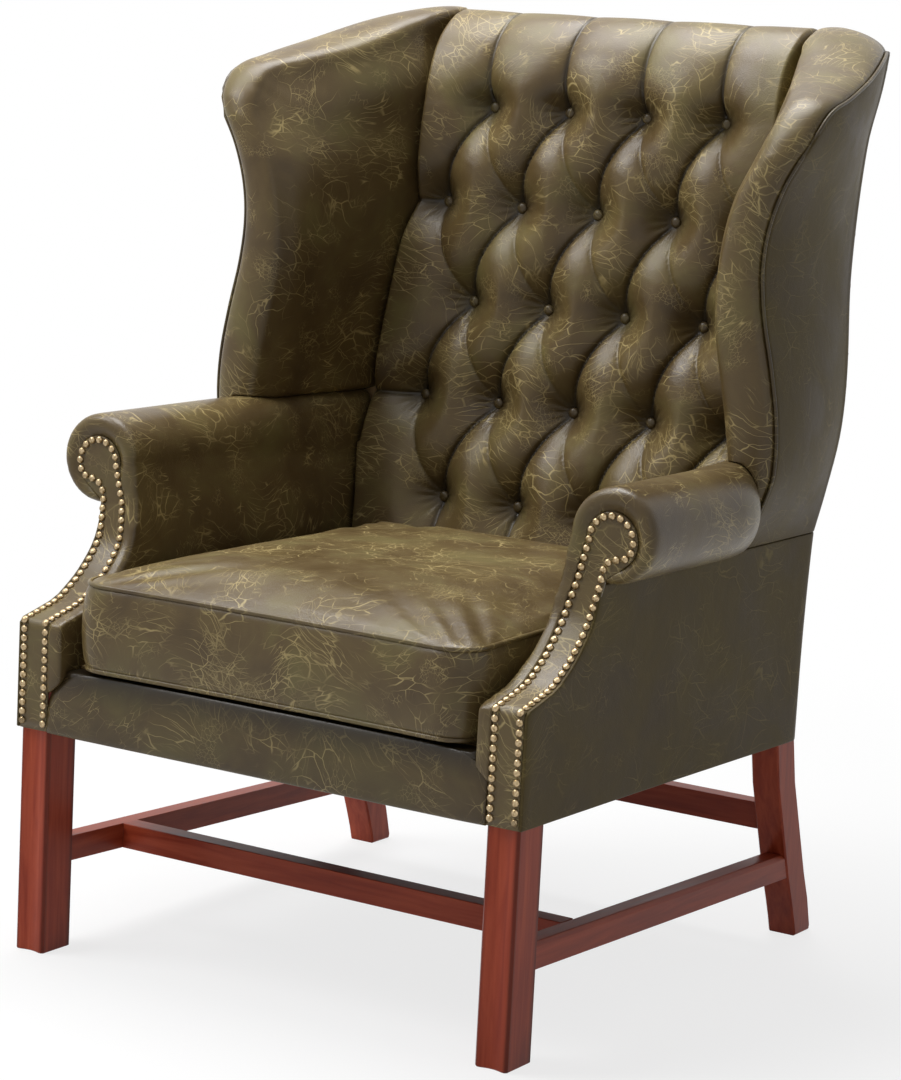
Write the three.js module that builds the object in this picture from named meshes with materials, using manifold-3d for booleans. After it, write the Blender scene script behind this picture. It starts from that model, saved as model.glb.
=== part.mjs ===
// Wingback armchair with a tufted back, rolled arms, a loose seat cushion and a wooden leg frame.
// Millimetres, +Z up. The chair faces -Y, and left and right are the sitter's.
// While it is built, y is 0 at the front face of the front legs. At the end the chair is moved so that
// its origin is the middle of its footprint at floor level.
import * as THREE from 'three';
import { mergeVertices } from 'three/addons/utils/BufferGeometryUtils.js';
import Module from 'manifold-3d';

const wasm = await Module();
wasm.setup();

// Fits
const clearance = 0.3; // air between neighbouring pieces
const weldReach = 0.01; // corners of one body closer than this are the same corner
const overrun = 20; // how far a cutting body runs past what it cuts
const coverThickness = 4.4; // leather over wadding on the outside of the body

// Leg frame
const legSpread = 700; // across the outer faces of the front legs
const frontLegWidth = 42.4;
const frontLegDepth = 50;
const legFillet = 7; // flat beside the cove on a front leg
const legCoveDepth = 3;
const legQuirk = 1.5; // step that sets the moulded front off from the side
const legFootBevel = 1.2;
const railTop = 338; // top of the legs and of the seat rails
const railHeight = 58;
const railThickness = 28;
const rearLegInset = 6; // outer face of a rear leg inside that of the front leg
const rearLegSpread = legSpread - 2 * rearLegInset;
const rearLegWidth = 38;
const rearLegDepth = 46;
const rearLegTopY = 615; // front face of a rear leg at the hem
const rearLegSweep = 87; // how far the foot of a rear leg stands behind that
const rearLegEdgeBevel = 2;
const stretcherHeight = 31;
const stretcherThickness = 26;
const stretcherBevel = 5;
const sideStretcherInset = 7.4; // outer face of a side stretcher inside the leg's outer face
const sideStretcherFrontTop = 134;
const sideStretcherRearTop = 113.5;
const crossStretcherY = 159;
const rearStretcherTop = 176;
const rearStretcherHeight = 34;
const rearStretcherThickness = 24;
const tenonLength = 16;
const tenonThickness = 12;
const tenonShoulder = 5;
const cornerBlockReach = 62;
const cornerBlockHeight = 30;

// Body outside
const hemFront = 274; // lower edge of the leather at the front
const hemRear = 265.5;
const hemRearY = 668; // outside back at the hem
const backTop = 1132; // seam at the top of the outside back
const backRake = 117; // how far that seam stands behind the hem
const bodyProud = 2; // outside arm panel outside the legs
const bodyHalfWidth = legSpread / 2 + bodyProud;
const bodyFrontFlare = 2.8; // extra half width at the very front
const bodyFlareRun = 263;
const bodyCornerRadius = 28; // rear corner, seen from above
const frontProud = 4; // leather in front of the leg faces

// Arms
const kneeShare = 0.51; // height of the knee, where the arm front turns back, between hem and neck
const sweepDepth = 147; // how far it has swept back at the scroll
const slabThickness = 19;
const slabRollInset = 15; // how far the inside face leans out to the roll
const rollRadius = 54.5;
const rollOverhang = 9; // axis of the roll outside the arm panel
const rollHalfX = bodyHalfWidth + rollOverhang;
const rollHeight = 582; // axis of the roll
const seamDrop = 55; // seam under the roll, below its axis
const neckDrop = 51; // top of the swept front
const slabDrop = 14; // top of the inside face
const scrollDrop = 5; // middle of the scroll
const seamHeight = rollHeight - seamDrop;
const neckHeight = rollHeight - neckDrop;
const slabTop = rollHeight - slabDrop;
const scrollHeight = rollHeight - scrollDrop;
const kneeHeight = hemFront + (neckHeight - hemFront) * kneeShare;
const rollRimProud = 6.5; // padded rim around the scroll
const rollRimWidth = 18;
const rollRearInset = 11; // middle of the rounded end inside that axis
const rollRearHalfX = rollHalfX - rollRearInset;
const rollEndLength = 30; // rounded end of the roll at the wing
const facingInset = 1.9; // outer edge of the facing inside the outside arm panel
const facingWidth = 40.8;
const armFrontBand = 19.3; // padding between the facing and the inside face of the arm
const facingOuterHalf = bodyHalfWidth - facingInset;
const facingInnerHalf = facingOuterHalf - facingWidth;
const slabInnerHalf = facingInnerHalf - armFrontBand; // inside face of the arm at the seat
const facingThickness = 3.7;
const facingLean = 8; // how far the facing leans out on its way to the scroll
const scrollRadius = 32.5;
const nailPitch = 11.1;
const nailRadius = 4.4;
const nailRise = 3;
const nailEdge = 4.6; // nail centres inside the edge of the facing
const nailStripWidth = 3.2;
const nailStripThickness = 0.8;
const nailHem = 9; // lowest nail above the hem
const stumpInset = 2; // stump inside the facing on each side
const stumpDepth = 56;
const armRailRise = 6; // top of the arm rail above the axis of the roll
const armRailTop = rollHeight + armRailRise;
const armRailHeight = 36;
const armRailFrontInset = 30; // inner face of the arm rail inside the axis of the roll, at its front
const armRailFrontHalf = rollHalfX - armRailFrontInset;
const armRailFrontWidth = 60;
const armRailRearInset = 53;
const armRailRearHalf = rollHalfX - armRailRearInset;
const armRailSetback = 4; // front end of the arm rail behind the neck

// Wings
const wingFrontY = 440; // front edge of a wing
const wingCrownDrop = 72; // top of the front corner of a wing below the top of the back
const wingCrownHeight = backTop - wingCrownDrop;
const wingFlare = 82; // how far the front corner stands outside the body
const wingRearBump = 17;
const wingBaseSetback = 24; // how far the front edge runs back down at the seam
const wingBulge = 21;
const wingTurnDrop = 142; // where the front edge starts to turn over
const wingTurnHeight = backTop - wingTurnDrop;
const wingRollForward = 15;
const wingCrown = 13;
const wingBoardThickness = 18;
const wingBoardInset = 9.5; // outer face of a wing board inside the leather face
const wingBoardLift = 18; // foot of a wing board above the seam
const wingBoardFoot = seamHeight + wingBoardLift;
const wingBoardMargin = 15;
const wingPadReach = 32; // inner front edge inside the arm panel, where the wing reaches in furthest
const wingInnerFrontHalf = bodyHalfWidth - wingPadReach;
const wingInnerSpread = 56;
const wingPadRearCrown = 5;

// Back
const backInset = 90; // side of the tufted back at its top inside the arm panel
const backHalfTop = bodyHalfWidth - backInset;
const backHalfSpread = 38;
const seatLevel = 352; // underside of the back pad
const buttonPitchShare = 0.19; // half of the distance between two buttons, of half the back's width
const buttonPitch = (backHalfTop + backHalfSpread) * buttonPitchShare;
const buttonRowRise = 157; // lowest row above the underside of the pad
const buttonTopDrop = 117; // highest row below the top of the back
const buttonRowBase = seatLevel + buttonRowRise;
const buttonRowPitch = (backTop - buttonTopDrop - buttonRowBase) / 4;
const buttonRadius = 8;
const buttonRise = 5;
const buttonStand = 6.4; // back of a button in front of the bottom of its dimple
const twineWidth = 2.4;
const twineHole = 4;
const tieHeight = 9;
const tieThickness = 1.8;
const tuftHeight = 32;
const pleatRise = 10; // a pleat between two buttons is this much shallower than a button
const buttonReach = 30; // size of the dimple around a button
const backSideRoll = 22;
const backPadRear = 10; // back of the pad in front of the outside back
const backPadDepth = 56; // button line at the top row in front of the outside back
const crestRise = 8; // highest line of the back above the seam behind it
const crestHeight = backTop + crestRise;
const postInset = 48; // inner face of a post inside the arm panel
const postHalfX = bodyHalfWidth - postInset;
const postWidth = 38;
const postDepth = 38;
const postCornerRadius = 23;
const postDrop = 24;
const postTop = backTop - postDrop;
const crestRailHeight = 46;
const crestRailDepth = 28;
const lowerRailHeight = 60;
const lowerRailRise = 14; // lower back rail above the underside of the pad
const lowerRailBase = seatLevel + lowerRailRise;
const strapThickness = 2;
const strapWidth = 40;

// Seat
const deckGap = 1; // beside the seat deck
const deckHalfX = slabInnerHalf - deckGap;
const deckFrontY = 8;
const apronTop = 350;
const apronBulge = 5;
const apronSetback = 26; // how far the top of the apron rolls back over the seat
const apronEndDrop = 27; // top of the apron at its ends below its middle
const cushionFrontGap = 12; // beside the cushion at its front and rear
const cushionRearGap = 24;
const cushionHalfFront = slabInnerHalf - cushionFrontGap;
const cushionHalfRear = slabInnerHalf - cushionRearGap;
const cushionBackGap = 2.2; // rear of the cushion in front of the tufted back
const cushionFrontY = -2;
const cushionBorder = 106;
const cushionCrown = 20;
const cushionBelly = 3;
const cushionPiping = 3; // radius of the piped edges
const cushionCornerRadius = 34;
const cushionSidePull = 5; // sides pull in between the corners
const dustCoverThickness = 1.2;
const dustCoverInset = 6;

const leather = { color: 0x5b5138, roughness: 0.42, metalness: 0 };
const leatherOutside = { color: 0x4c4737, roughness: 0.4, metalness: 0 };
const mahogany = { color: 0x6a2a1b, roughness: 0.35, metalness: 0 };
const beech = { color: 0xc9a877, roughness: 0.7, metalness: 0 };
const brass = { color: 0xa98a4e, roughness: 0.3, metalness: 0.9 };
const jute = { color: 0xa58a5c, roughness: 0.9, metalness: 0 };
const cambric = { color: 0x1f1f1f, roughness: 0.95, metalness: 0 };

const chair = new THREE.Group();
chair.name = 'wingback_armchair';

// Smooth value of a table of [position share, value share] rows, level beyond both ends.
function readShares(rows, at) {
  const last = rows.length - 1;
  if (at <= rows[0][0]) return rows[0][1];
  if (at >= rows[last][0]) return rows[last][1];
  let i = 0;
  while (at > rows[i + 1][0]) i += 1;
  const slope = (k) => {
    const before = rows[Math.max(k - 1, 0)];
    const after = rows[Math.min(k + 1, last)];
    return (after[1] - before[1]) / (after[0] - before[0]);
  };
  const span = rows[i + 1][0] - rows[i][0];
  const t = (at - rows[i][0]) / span;
  const t2 = t * t;
  const t3 = t2 * t;
  return (2 * t3 - 3 * t2 + 1) * rows[i][1] + (t3 - 2 * t2 + t) * span * slope(i)
    + (3 * t2 - 2 * t3) * rows[i + 1][1] + (t3 - t2) * span * slope(i + 1);
}

const mix = (a, b, t) => a + (b - a) * t;
const clamp01 = (t) => Math.min(Math.max(t, 0), 1);

// Closed body from shared vertices, turned inside out if its faces point in.
function closedBody(positions, triangles) {
  const geometry = new THREE.BufferGeometry();
  geometry.setAttribute('position', new THREE.Float32BufferAttribute(positions, 3));
  const p = positions;
  let volume = 0;
  for (let i = 0; i < triangles.length; i += 3) {
    const [a, b, c] = [triangles[i] * 3, triangles[i + 1] * 3, triangles[i + 2] * 3];
    volume += p[a] * (p[b + 1] * p[c + 2] - p[b + 2] * p[c + 1])
      + p[a + 1] * (p[b + 2] * p[c] - p[b] * p[c + 2])
      + p[a + 2] * (p[b] * p[c + 1] - p[b + 1] * p[c]);
  }
  if (volume < 0) {
    for (let i = 0; i < triangles.length; i += 3) {
      [triangles[i], triangles[i + 1]] = [triangles[i + 1], triangles[i]];
    }
  }
  geometry.setIndex(triangles);
  return geometry;
}

function merged(geometry) {
  const bare = geometry.clone();
  bare.deleteAttribute('normal');
  bare.deleteAttribute('uv');
  const welded = mergeVertices(bare, weldReach);
  return closedBody(Array.from(welded.attributes.position.array), Array.from(welded.index.array));
}

// A block of nu by nv by nw cells whose corners are placed by map(u, v, w), each from 0 to 1.
function warpedBlock(nu, nv, nw, map) {
  const unit = merged(new THREE.BoxGeometry(1, 1, 1, nu, nv, nw));
  const positions = [];
  const place = unit.attributes.position;
  for (let i = 0; i < place.count; i += 1) {
    positions.push(...map(place.getX(i) + 1 / 2, place.getY(i) + 1 / 2, place.getZ(i) + 1 / 2));
  }
  return closedBody(positions, Array.from(unit.index.array));
}

function box(x0, x1, y0, y1, z0, z1) {
  return warpedBlock(1, 1, 1, (u, v, w) => [mix(x0, x1, u), mix(y0, y1, v), mix(z0, z1, w)]);
}

// Rings of equally many points joined in order, with both end rings filled. Flat is the pair of axes
// that the end rings are seen along when they are filled.
function loft(rings, flat = [0, 1]) {
  const count = rings[0].length;
  const positions = rings.flat(2);
  const triangles = [];
  for (let r = 0; r < rings.length - 1; r += 1) {
    for (let i = 0; i < count; i += 1) {
      const a = r * count + i;
      const b = r * count + (i + 1) % count;
      triangles.push(a, b, a + count, b, b + count, a + count);
    }
  }
  const capOf = (ring) => {
    const outline = ring.map((point) => new THREE.Vector2(point[flat[0]], point[flat[1]]));
    return THREE.ShapeUtils.triangulateShape(outline, []);
  };
  const turned = (ring) => THREE.ShapeUtils.isClockWise(
    ring.map((point) => new THREE.Vector2(point[flat[0]], point[flat[1]])),
  );
  const first = turned(rings[0]);
  const last = turned(rings[rings.length - 1]);
  const start = (rings.length - 1) * count;
  for (const [a, b, c] of capOf(rings[0])) {
    if (first) triangles.push(a, b, c);
    else triangles.push(c, b, a);
  }
  for (const [a, b, c] of capOf(rings[rings.length - 1])) {
    if (last) triangles.push(start + c, start + b, start + a);
    else triangles.push(start + a, start + b, start + c);
  }
  return closedBody(positions, triangles);
}

// The same geometry as a closed body of its own
function bare(geometry) {
  return closedBody(Array.from(geometry.attributes.position.array), Array.from(geometry.index.array));
}

function solid(geometry) {
  return new wasm.Manifold(new wasm.Mesh({
    numProp: 3,
    vertProperties: new Float32Array(geometry.attributes.position.array),
    triVerts: new Uint32Array(geometry.index.array),
  }));
}

function fromSolid(body) {
  const mesh = body.asOriginal().simplify(clearance / 10).getMesh();
  return closedBody(Array.from(mesh.vertProperties), Array.from(mesh.triVerts));
}

// What is left of a body after the cuts. Loose offcuts fall away.
function carve(geometry, cutters) {
  let body = solid(geometry);
  for (const cutter of cutters) body = body.subtract(solid(cutter));
  const pieces = body.decompose();
  pieces.sort((a, b) => b.volume() - a.volume());
  return fromSolid(pieces[0]);
}

function join(pieces) {
  let body = solid(pieces[0]);
  for (const piece of pieces.slice(1)) body = body.add(solid(piece));
  return fromSolid(body);
}

function mirrored(geometry) {
  const positions = Array.from(geometry.attributes.position.array, (value, i) => (i % 3 ? value : -value));
  return closedBody(positions, Array.from(geometry.index.array));
}

function turnedExtrusion(shape, depth, options = {}) {
  return merged(new THREE.ExtrudeGeometry(shape, { depth, bevelEnabled: false, ...options }));
}

function shapeOf(points) {
  return new THREE.Shape(points.map(([x, y]) => new THREE.Vector2(x, y)));
}

// Extrusion of a y-z outline along +X from x0.
function sideBoard(points, x0, width, options) {
  const geometry = turnedExtrusion(shapeOf(points), width, options);
  geometry.applyMatrix4(new THREE.Matrix4().set(0, 0, 1, x0, 1, 0, 0, 0, 0, 1, 0, 0, 0, 0, 0, 1));
  return bare(geometry);
}

function part(name, geometry, look) {
  const shown = geometry.toNonIndexed();
  shown.computeVertexNormals();
  const mesh = new THREE.Mesh(shown, new THREE.MeshStandardMaterial(look));
  mesh.name = name;
  chair.add(mesh);
}

function bothSides(name, geometry, look) {
  part(`${name}_left`, geometry, look);
  part(`${name}_right`, mirrored(geometry), look);
}

// Sweep of an arm front from the knee to the neck, as shares of its depth and rise
const sweepShares = [
  [0, 0], [0.09, 0.03], [0.26, 0.08], [0.415, 0.135], [0.55, 0.23],
  [0.67, 0.33], [0.777, 0.45], [0.865, 0.57], [0.93, 0.71], [1, 1],
];
const sweepInverseShares = sweepShares.map(([deep, high]) => [high, deep]);

// Front of the arm at height z, for the leather face
function armFrontY(z) {
  if (z <= kneeHeight) return -frontProud;
  const high = (z - kneeHeight) / (neckHeight - kneeHeight);
  return mix(-frontProud, sweepDepth - frontProud, readShares(sweepInverseShares, high));
}

// Levels that the outside of the body is built on
const wingLevelShares = [0, 0.04, 0.09, 0.15, 0.23, 0.36, 0.5, 0.64, 0.78, 0.9, 1];
const padLevelShares = wingLevelShares.slice(2);
const backLevelShares = wingLevelShares.slice(4);
const sweepLevels = sweepShares.slice(0, -1).map(([, high]) => mix(kneeHeight, neckHeight, high));
const backLevels = [
  hemRear, mix(hemRear, kneeHeight, 1 / 2), kneeHeight, seamHeight,
  ...backLevelShares.map((share) => mix(seamHeight, backTop, share)),
];

// Outside back seen from the side, straight between its levels
const backLineShares = [[0, 0], [0.156, 0.026], [0.307, 0.12], [0.502, 0.368], [0.732, 0.658], [1, 1]];
const backDepths = backLevels.map((z) => (
  hemRearY + backRake * readShares(backLineShares, (z - hemRear) / (backTop - hemRear))
));

function backY(z) {
  let i = 0;
  while (i < backLevels.length - 2 && z > backLevels[i + 1]) i += 1;
  return mix(backDepths[i], backDepths[i + 1], (z - backLevels[i]) / (backLevels[i + 1] - backLevels[i]));
}

function levelsBetween(low, high) {
  return [low, ...backLevels.filter((z) => z > low + clearance && z < high - clearance), high];
}

// Plan of the outside of the body and of a wing. The way along it runs from 0 at the front to 1 where
// the rear corner starts, and on to 2 where that corner meets the outside back.
const wingFrontShares = [
  [0, 0], [0.045, 0.25], [0.09, 0.43], [0.13, 0.55], [0.19, 0.66], [0.3, 0.645], [0.41, 0.52],
  [0.53, 0.34], [0.63, 0.27], [0.72, 0.33], [0.81, 0.525], [0.91, 0.87], [1, 1],
];
const wingRearShares = [
  [0, 0], [0.08, 0.5], [0.2, 1], [0.32, 0.85], [0.53, 0], [0.78, -0.15], [0.9, 0.4], [1, 0.6],
];
const wingBulgeShares = [[0, 0], [0.18, 0.35], [0.53, 0.45], [0.78, 0.85], [1, 1]];
const wingTopShares = [
  [0, 0], [0.02, 0.17], [0.1, 0.38], [0.25, 0.493], [0.5, 0.655], [0.73, 0.817], [0.9, 0.94], [1, 1],
];
const cornerWayShares = [4 / 3, 5 / 3, 2];
const armWayShares = [0, 0.2, 0.45, 1, ...cornerWayShares];
const wingWayShares = [0, 0.03, 0.1, 0.25, 0.5, 0.75, 1, ...cornerWayShares];
const cornerShare = 0.08; // share of the wing's length that the rear corner takes

function wingEdgeY(z) {
  const low = clamp01((wingBoardFoot + wingBaseSetback * 2 - z) / (wingBaseSetback * 2));
  return wingFrontY + wingBaseSetback * low * low;
}

function wingSide(z, s) {
  const rise = (z - seamHeight) / (wingCrownHeight - seamHeight);
  const tall = (z - seamHeight) / (backTop - seamHeight);
  const front = bodyHalfWidth + wingFlare * readShares(wingFrontShares, rise);
  const rear = bodyHalfWidth + wingRearBump * readShares(wingRearShares, tall);
  const bulge = wingBulge * readShares(wingBulgeShares, tall) * 4 * s * (1 - s);
  return [mix(front, rear, s) + bulge, mix(wingEdgeY(z), backY(z) - bodyCornerRadius, s)];
}

function bodySide(z, s) {
  const y = mix(armFrontY(z), backY(z) - bodyCornerRadius, s);
  const flare = Math.max(0, 1 - (y + frontProud) / bodyFlareRun);
  return [bodyHalfWidth + bodyFrontFlare * flare, y];
}

function planPoint(side, z, way, inset) {
  const [x, y] = side(z, Math.min(way, 1));
  if (way <= 1) return [x - inset, y];
  const angle = (way - 1) * Math.PI / 2;
  const radius = bodyCornerRadius - inset;
  return [x - bodyCornerRadius + radius * Math.cos(angle), y + radius * Math.sin(angle)];
}

function wingTop(way) {
  const share = way <= 1 ? way * (1 - cornerShare) : mix(1 - cornerShare, 1, way - 1);
  return mix(wingTurnHeight, backTop, readShares(wingTopShares, share));
}

const hemAt = (way) => mix(hemFront, hemRear, Math.min(way, 1));
const armRows = [
  hemAt,
  (way) => mix(hemAt(way), kneeHeight, 1 / 2),
  ...sweepLevels.map((z) => () => z),
  () => seamHeight - clearance,
];
const wingRow = (share) => (way) => mix(seamHeight + clearance, wingTop(way), share);
const wingRows = wingLevelShares.map(wingRow);

// A layer on the outside of the body between two insets. Each row gives its height along the way.
function sideLayer(side, ways, rows, inset0, inset1, forward = 0) {
  const across = ways.length - 1;
  const up = rows.length - 1;
  return warpedBlock(across, up, 1, (u, v, w) => {
    const way = ways[Math.round(u * across)];
    const z = rows[Math.round(v * up)](way);
    const [x, y] = planPoint(side, z, way, mix(inset1, inset0, w));
    return [x, way ? y : y - forward, z];
  });
}

// Room taken by the outside leather and the air behind it
function armCoverRoom() {
  const rows = [(way) => hemAt(way) - clearance, ...armRows.slice(1)];
  return sideLayer(bodySide, armWayShares, rows, -overrun, coverThickness + clearance, clearance);
}

function wingCoverRoom() {
  const rows = [() => seamHeight, ...wingRows, (way) => wingTop(way) + overrun];
  return sideLayer(wingSide, wingWayShares, rows, -overrun * 2, coverThickness + clearance, clearance);
}

// Front legs: a cove between two fillets on the front, set off by a small step
const frontLegShare = [0.2, 0.35, 0.5, 0.65, 0.8];

function frontLeg() {
  const inner = legSpread / 2 - frontLegWidth;
  const span = frontLegWidth - 2 * legFillet;
  const cove = frontLegShare.map((share) => [
    inner + legFillet + span * share,
    legCoveDepth * Math.sin(Math.PI * share),
  ]);
  const outer = legSpread / 2;
  const points = [
    [inner, frontLegDepth], [inner, legQuirk * 2], [inner + legQuirk, legQuirk],
    [inner + legQuirk * 2, 0], [inner + legFillet, 0], ...cove,
    [outer - legFillet, 0], [outer - legQuirk * 2, 0], [outer - legQuirk, legQuirk],
    [outer, legQuirk * 2], [outer, frontLegDepth],
  ];
  const foot = {
    bevelEnabled: true,
    bevelSegments: 1,
    bevelSize: legFootBevel,
    bevelOffset: -legFootBevel,
    bevelThickness: legFootBevel,
  };
  const height = railTop - 2 * legFootBevel;
  const geometry = turnedExtrusion(shapeOf(points), height, foot);
  geometry.translate(0, 0, legFootBevel);
  return bare(geometry);
}

// Rear legs: a sabre curve, as shares of the hem height and of the sweep, for the front edge
const rearLegShares = [
  [0, 1], [0.07, 0.935], [0.17, 0.82], [0.31, 0.645], [0.45, 0.5], [0.6, 0.34], [0.78, 0.155], [1, 0.02],
];
const rearLegToeShares = [[0, 1], [0.025, 0.45]];

function rearLegFront(z) {
  return rearLegTopY + rearLegSweep * readShares(rearLegShares, z / hemRear);
}

const rearLegFrontLine = rearLegShares.map(([share]) => [rearLegFront(share * hemRear), share * hemRear]);

function rearLeg() {
  const rear = rearLegFrontLine.slice(2).map(([y, z]) => [y + rearLegDepth, z]);
  const toe = rearLegToeShares.map(([share, inset]) => [
    rearLegFront(share * hemRear) + rearLegDepth - rearLegEdgeBevel * 3 * inset,
    share * hemRear,
  ]);
  const topFront = rearLegFront(hemRear);
  const points = [
    ...rearLegFrontLine, [topFront, railTop], [topFront + rearLegDepth, railTop],
    ...rear.reverse(), ...toe.reverse(),
  ];
  const bevel = {
    bevelEnabled: true,
    bevelSegments: 1,
    bevelSize: rearLegEdgeBevel,
    bevelOffset: -rearLegEdgeBevel,
    bevelThickness: rearLegEdgeBevel,
  };
  const x0 = rearLegSpread / 2 - rearLegWidth + rearLegEdgeBevel;
  return sideBoard(points, x0, rearLegWidth - 2 * rearLegEdgeBevel, bevel);
}

// A bar along X or Y with a tenon on each end, and the same tenons grown to cut the mortises
function tenonedBar(along, x0, x1, y0, y1, z0, z1) {
  const [start, end] = along === 'x' ? [x0, x1] : [y0, y1];
  const middle = along === 'x' ? (y0 + y1) / 2 : (x0 + x1) / 2;
  const tenon = (from, to, grow) => {
    const half = tenonThickness / 2 + grow;
    const low = z0 + tenonShoulder - grow;
    const high = z1 - tenonShoulder + grow;
    if (along === 'x') return box(from - grow, to + grow, middle - half, middle + half, low, high);
    return box(middle - half, middle + half, from - grow, to + grow, low, high);
  };
  const pair = (grow) => [
    tenon(start - tenonLength, start + tenonShoulder, grow),
    tenon(end - tenonShoulder, end + tenonLength, grow),
  ];
  const tenons = pair(0);
  return { solid: join([box(x0, x1, y0, y1, z0, z1), ...tenons]), tenons, mortises: pair(clearance) };
}

function addLegFrame() {
  const legInner = legSpread / 2 - frontLegWidth;
  const rearInner = rearLegSpread / 2 - rearLegWidth;
  const rearFront = rearLegFront(hemRear);
  const railLow = railTop - railHeight;

  // Side stretchers fall towards the rear, and their ends are cut square to the legs.
  const stretcherOuter = legSpread / 2 - sideStretcherInset;
  const stretcherInner = stretcherOuter - stretcherThickness;
  const stretcherLow = sideStretcherFrontTop - stretcherHeight;
  const stretcherFront = frontLegDepth + clearance;
  const stretcherRear = rearLegFront(sideStretcherRearTop - stretcherHeight / 2) - clearance;
  const fall = sideStretcherFrontTop - sideStretcherRearTop;
  const tilt = -Math.atan2(fall, rearLegFront(sideStretcherRearTop) - frontLegDepth);
  const tilted = (geometry) => {
    const turned = geometry.clone()
      .translate(0, -frontLegDepth, -sideStretcherFrontTop)
      .rotateX(tilt)
      .translate(0, frontLegDepth, sideStretcherFrontTop);
    return bare(turned);
  };
  const sideBar = tenonedBar(
    'y', stretcherInner, stretcherOuter, stretcherFront, stretcherRear, stretcherLow, sideStretcherFrontTop,
  );
  const bevelled = sideBoard(
    [
      [stretcherFront - overrun, stretcherLow], [stretcherRear + overrun, stretcherLow],
      [stretcherRear + overrun, sideStretcherFrontTop], [stretcherFront - overrun, sideStretcherFrontTop],
    ],
    stretcherInner, stretcherThickness,
  );
  const edge = turnedExtrusion(
    shapeOf([[clearance, clearance], [-stretcherBevel, clearance], [clearance, -stretcherBevel]]),
    stretcherRear - stretcherFront + 3 * overrun,
  );
  edge.rotateX(Math.PI / 2);
  edge.translate(stretcherOuter, stretcherRear + 3 * overrun / 2, sideStretcherFrontTop);
  const besideFront = box(
    stretcherInner - overrun, stretcherOuter + overrun, 0, stretcherFront, 0, railTop,
  );
  const besideRear = sideBoard(
    [
      ...rearLegFrontLine.map(([y, z]) => [y - clearance, z]),
      [rearFront + rearLegSweep + rearLegDepth, hemRear], [rearFront + rearLegSweep + rearLegDepth, 0],
    ],
    stretcherInner - overrun, stretcherThickness + 2 * overrun,
  );
  const crossTop = sideStretcherFrontTop - Math.tan(-tilt) * (crossStretcherY - frontLegDepth);
  const cross = tenonedBar(
    'x', -stretcherInner + clearance, stretcherInner - clearance,
    crossStretcherY, crossStretcherY + stretcherThickness, crossTop - stretcherHeight, crossTop,
  );
  const shaped = carve(tilted(carve(bevelled, [bare(edge)])), [besideFront, besideRear]);
  const sideStretcher = carve(join([shaped, ...sideBar.tenons.map(tilted)]), cross.mortises);

  const rearMiddle = rearLegFront(rearStretcherTop - rearStretcherHeight / 2) + rearLegDepth / 2;
  const rearBar = tenonedBar(
    'x', -rearInner + clearance, rearInner - clearance,
    rearMiddle - rearStretcherThickness / 2, rearMiddle + rearStretcherThickness / 2,
    rearStretcherTop - rearStretcherHeight, rearStretcherTop,
  );

  // The side rails stand on the outer part of the legs, beside the tenons of the other rails.
  const railOuter = bodyHalfWidth - coverThickness - clearance;
  const sideRail = tenonedBar(
    'y', railOuter - railThickness, railOuter,
    frontLegDepth + clearance, rearFront - clearance, railLow, railTop,
  );
  const frontRail = tenonedBar(
    'x', -legInner + clearance, legInner - clearance,
    deckFrontY, deckFrontY + railThickness, railLow, railTop,
  );
  const rearRailFront = rearFront + tenonShoulder;
  const rearRail = tenonedBar(
    'x', -rearInner + clearance, rearInner - clearance,
    rearRailFront, rearRailFront + railThickness, railLow, railTop,
  );

  bothSides('front_leg', carve(frontLeg(), [
    tilted(sideBar.mortises[0]), sideRail.mortises[0], frontRail.mortises[1], armCoverRoom(),
  ]), mahogany);
  bothSides('rear_leg', carve(rearLeg(), [
    tilted(sideBar.mortises[1]), sideRail.mortises[1], rearRail.mortises[1],
    rearBar.mortises[1], armCoverRoom(),
  ]), mahogany);
  bothSides('side_stretcher', sideStretcher, mahogany);
  part('cross_stretcher', cross.solid, mahogany);
  part('rear_stretcher', rearBar.solid, mahogany);
  part('front_seat_rail', frontRail.solid, beech);
  part('rear_seat_rail', rearRail.solid, beech);
  bothSides('side_seat_rail', sideRail.solid, beech);

  // Corner blocks
  const blockLow = railLow + (railHeight - cornerBlockHeight) / 2;
  const blockOuter = railOuter - railThickness - clearance;
  const block = (y, reach) => {
    const body = turnedExtrusion(
      shapeOf([[blockOuter, y], [blockOuter, y + reach], [blockOuter - cornerBlockReach, y]]),
      cornerBlockHeight,
    );
    body.translate(0, 0, blockLow);
    return bare(body);
  };
  const besideLeg = (inner, y0, y1) => box(
    inner - clearance, bodyHalfWidth, y0 - clearance, y1 + clearance, railLow, railTop,
  );
  bothSides('front_corner_block', carve(
    block(deckFrontY + railThickness + clearance, cornerBlockReach),
    [besideLeg(legInner, 0, frontLegDepth)],
  ), beech);
  bothSides('rear_corner_block', carve(
    block(rearRailFront - clearance, -cornerBlockReach),
    [besideLeg(rearInner, rearFront, rearFront + rearLegDepth)],
  ), beech);
}

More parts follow.
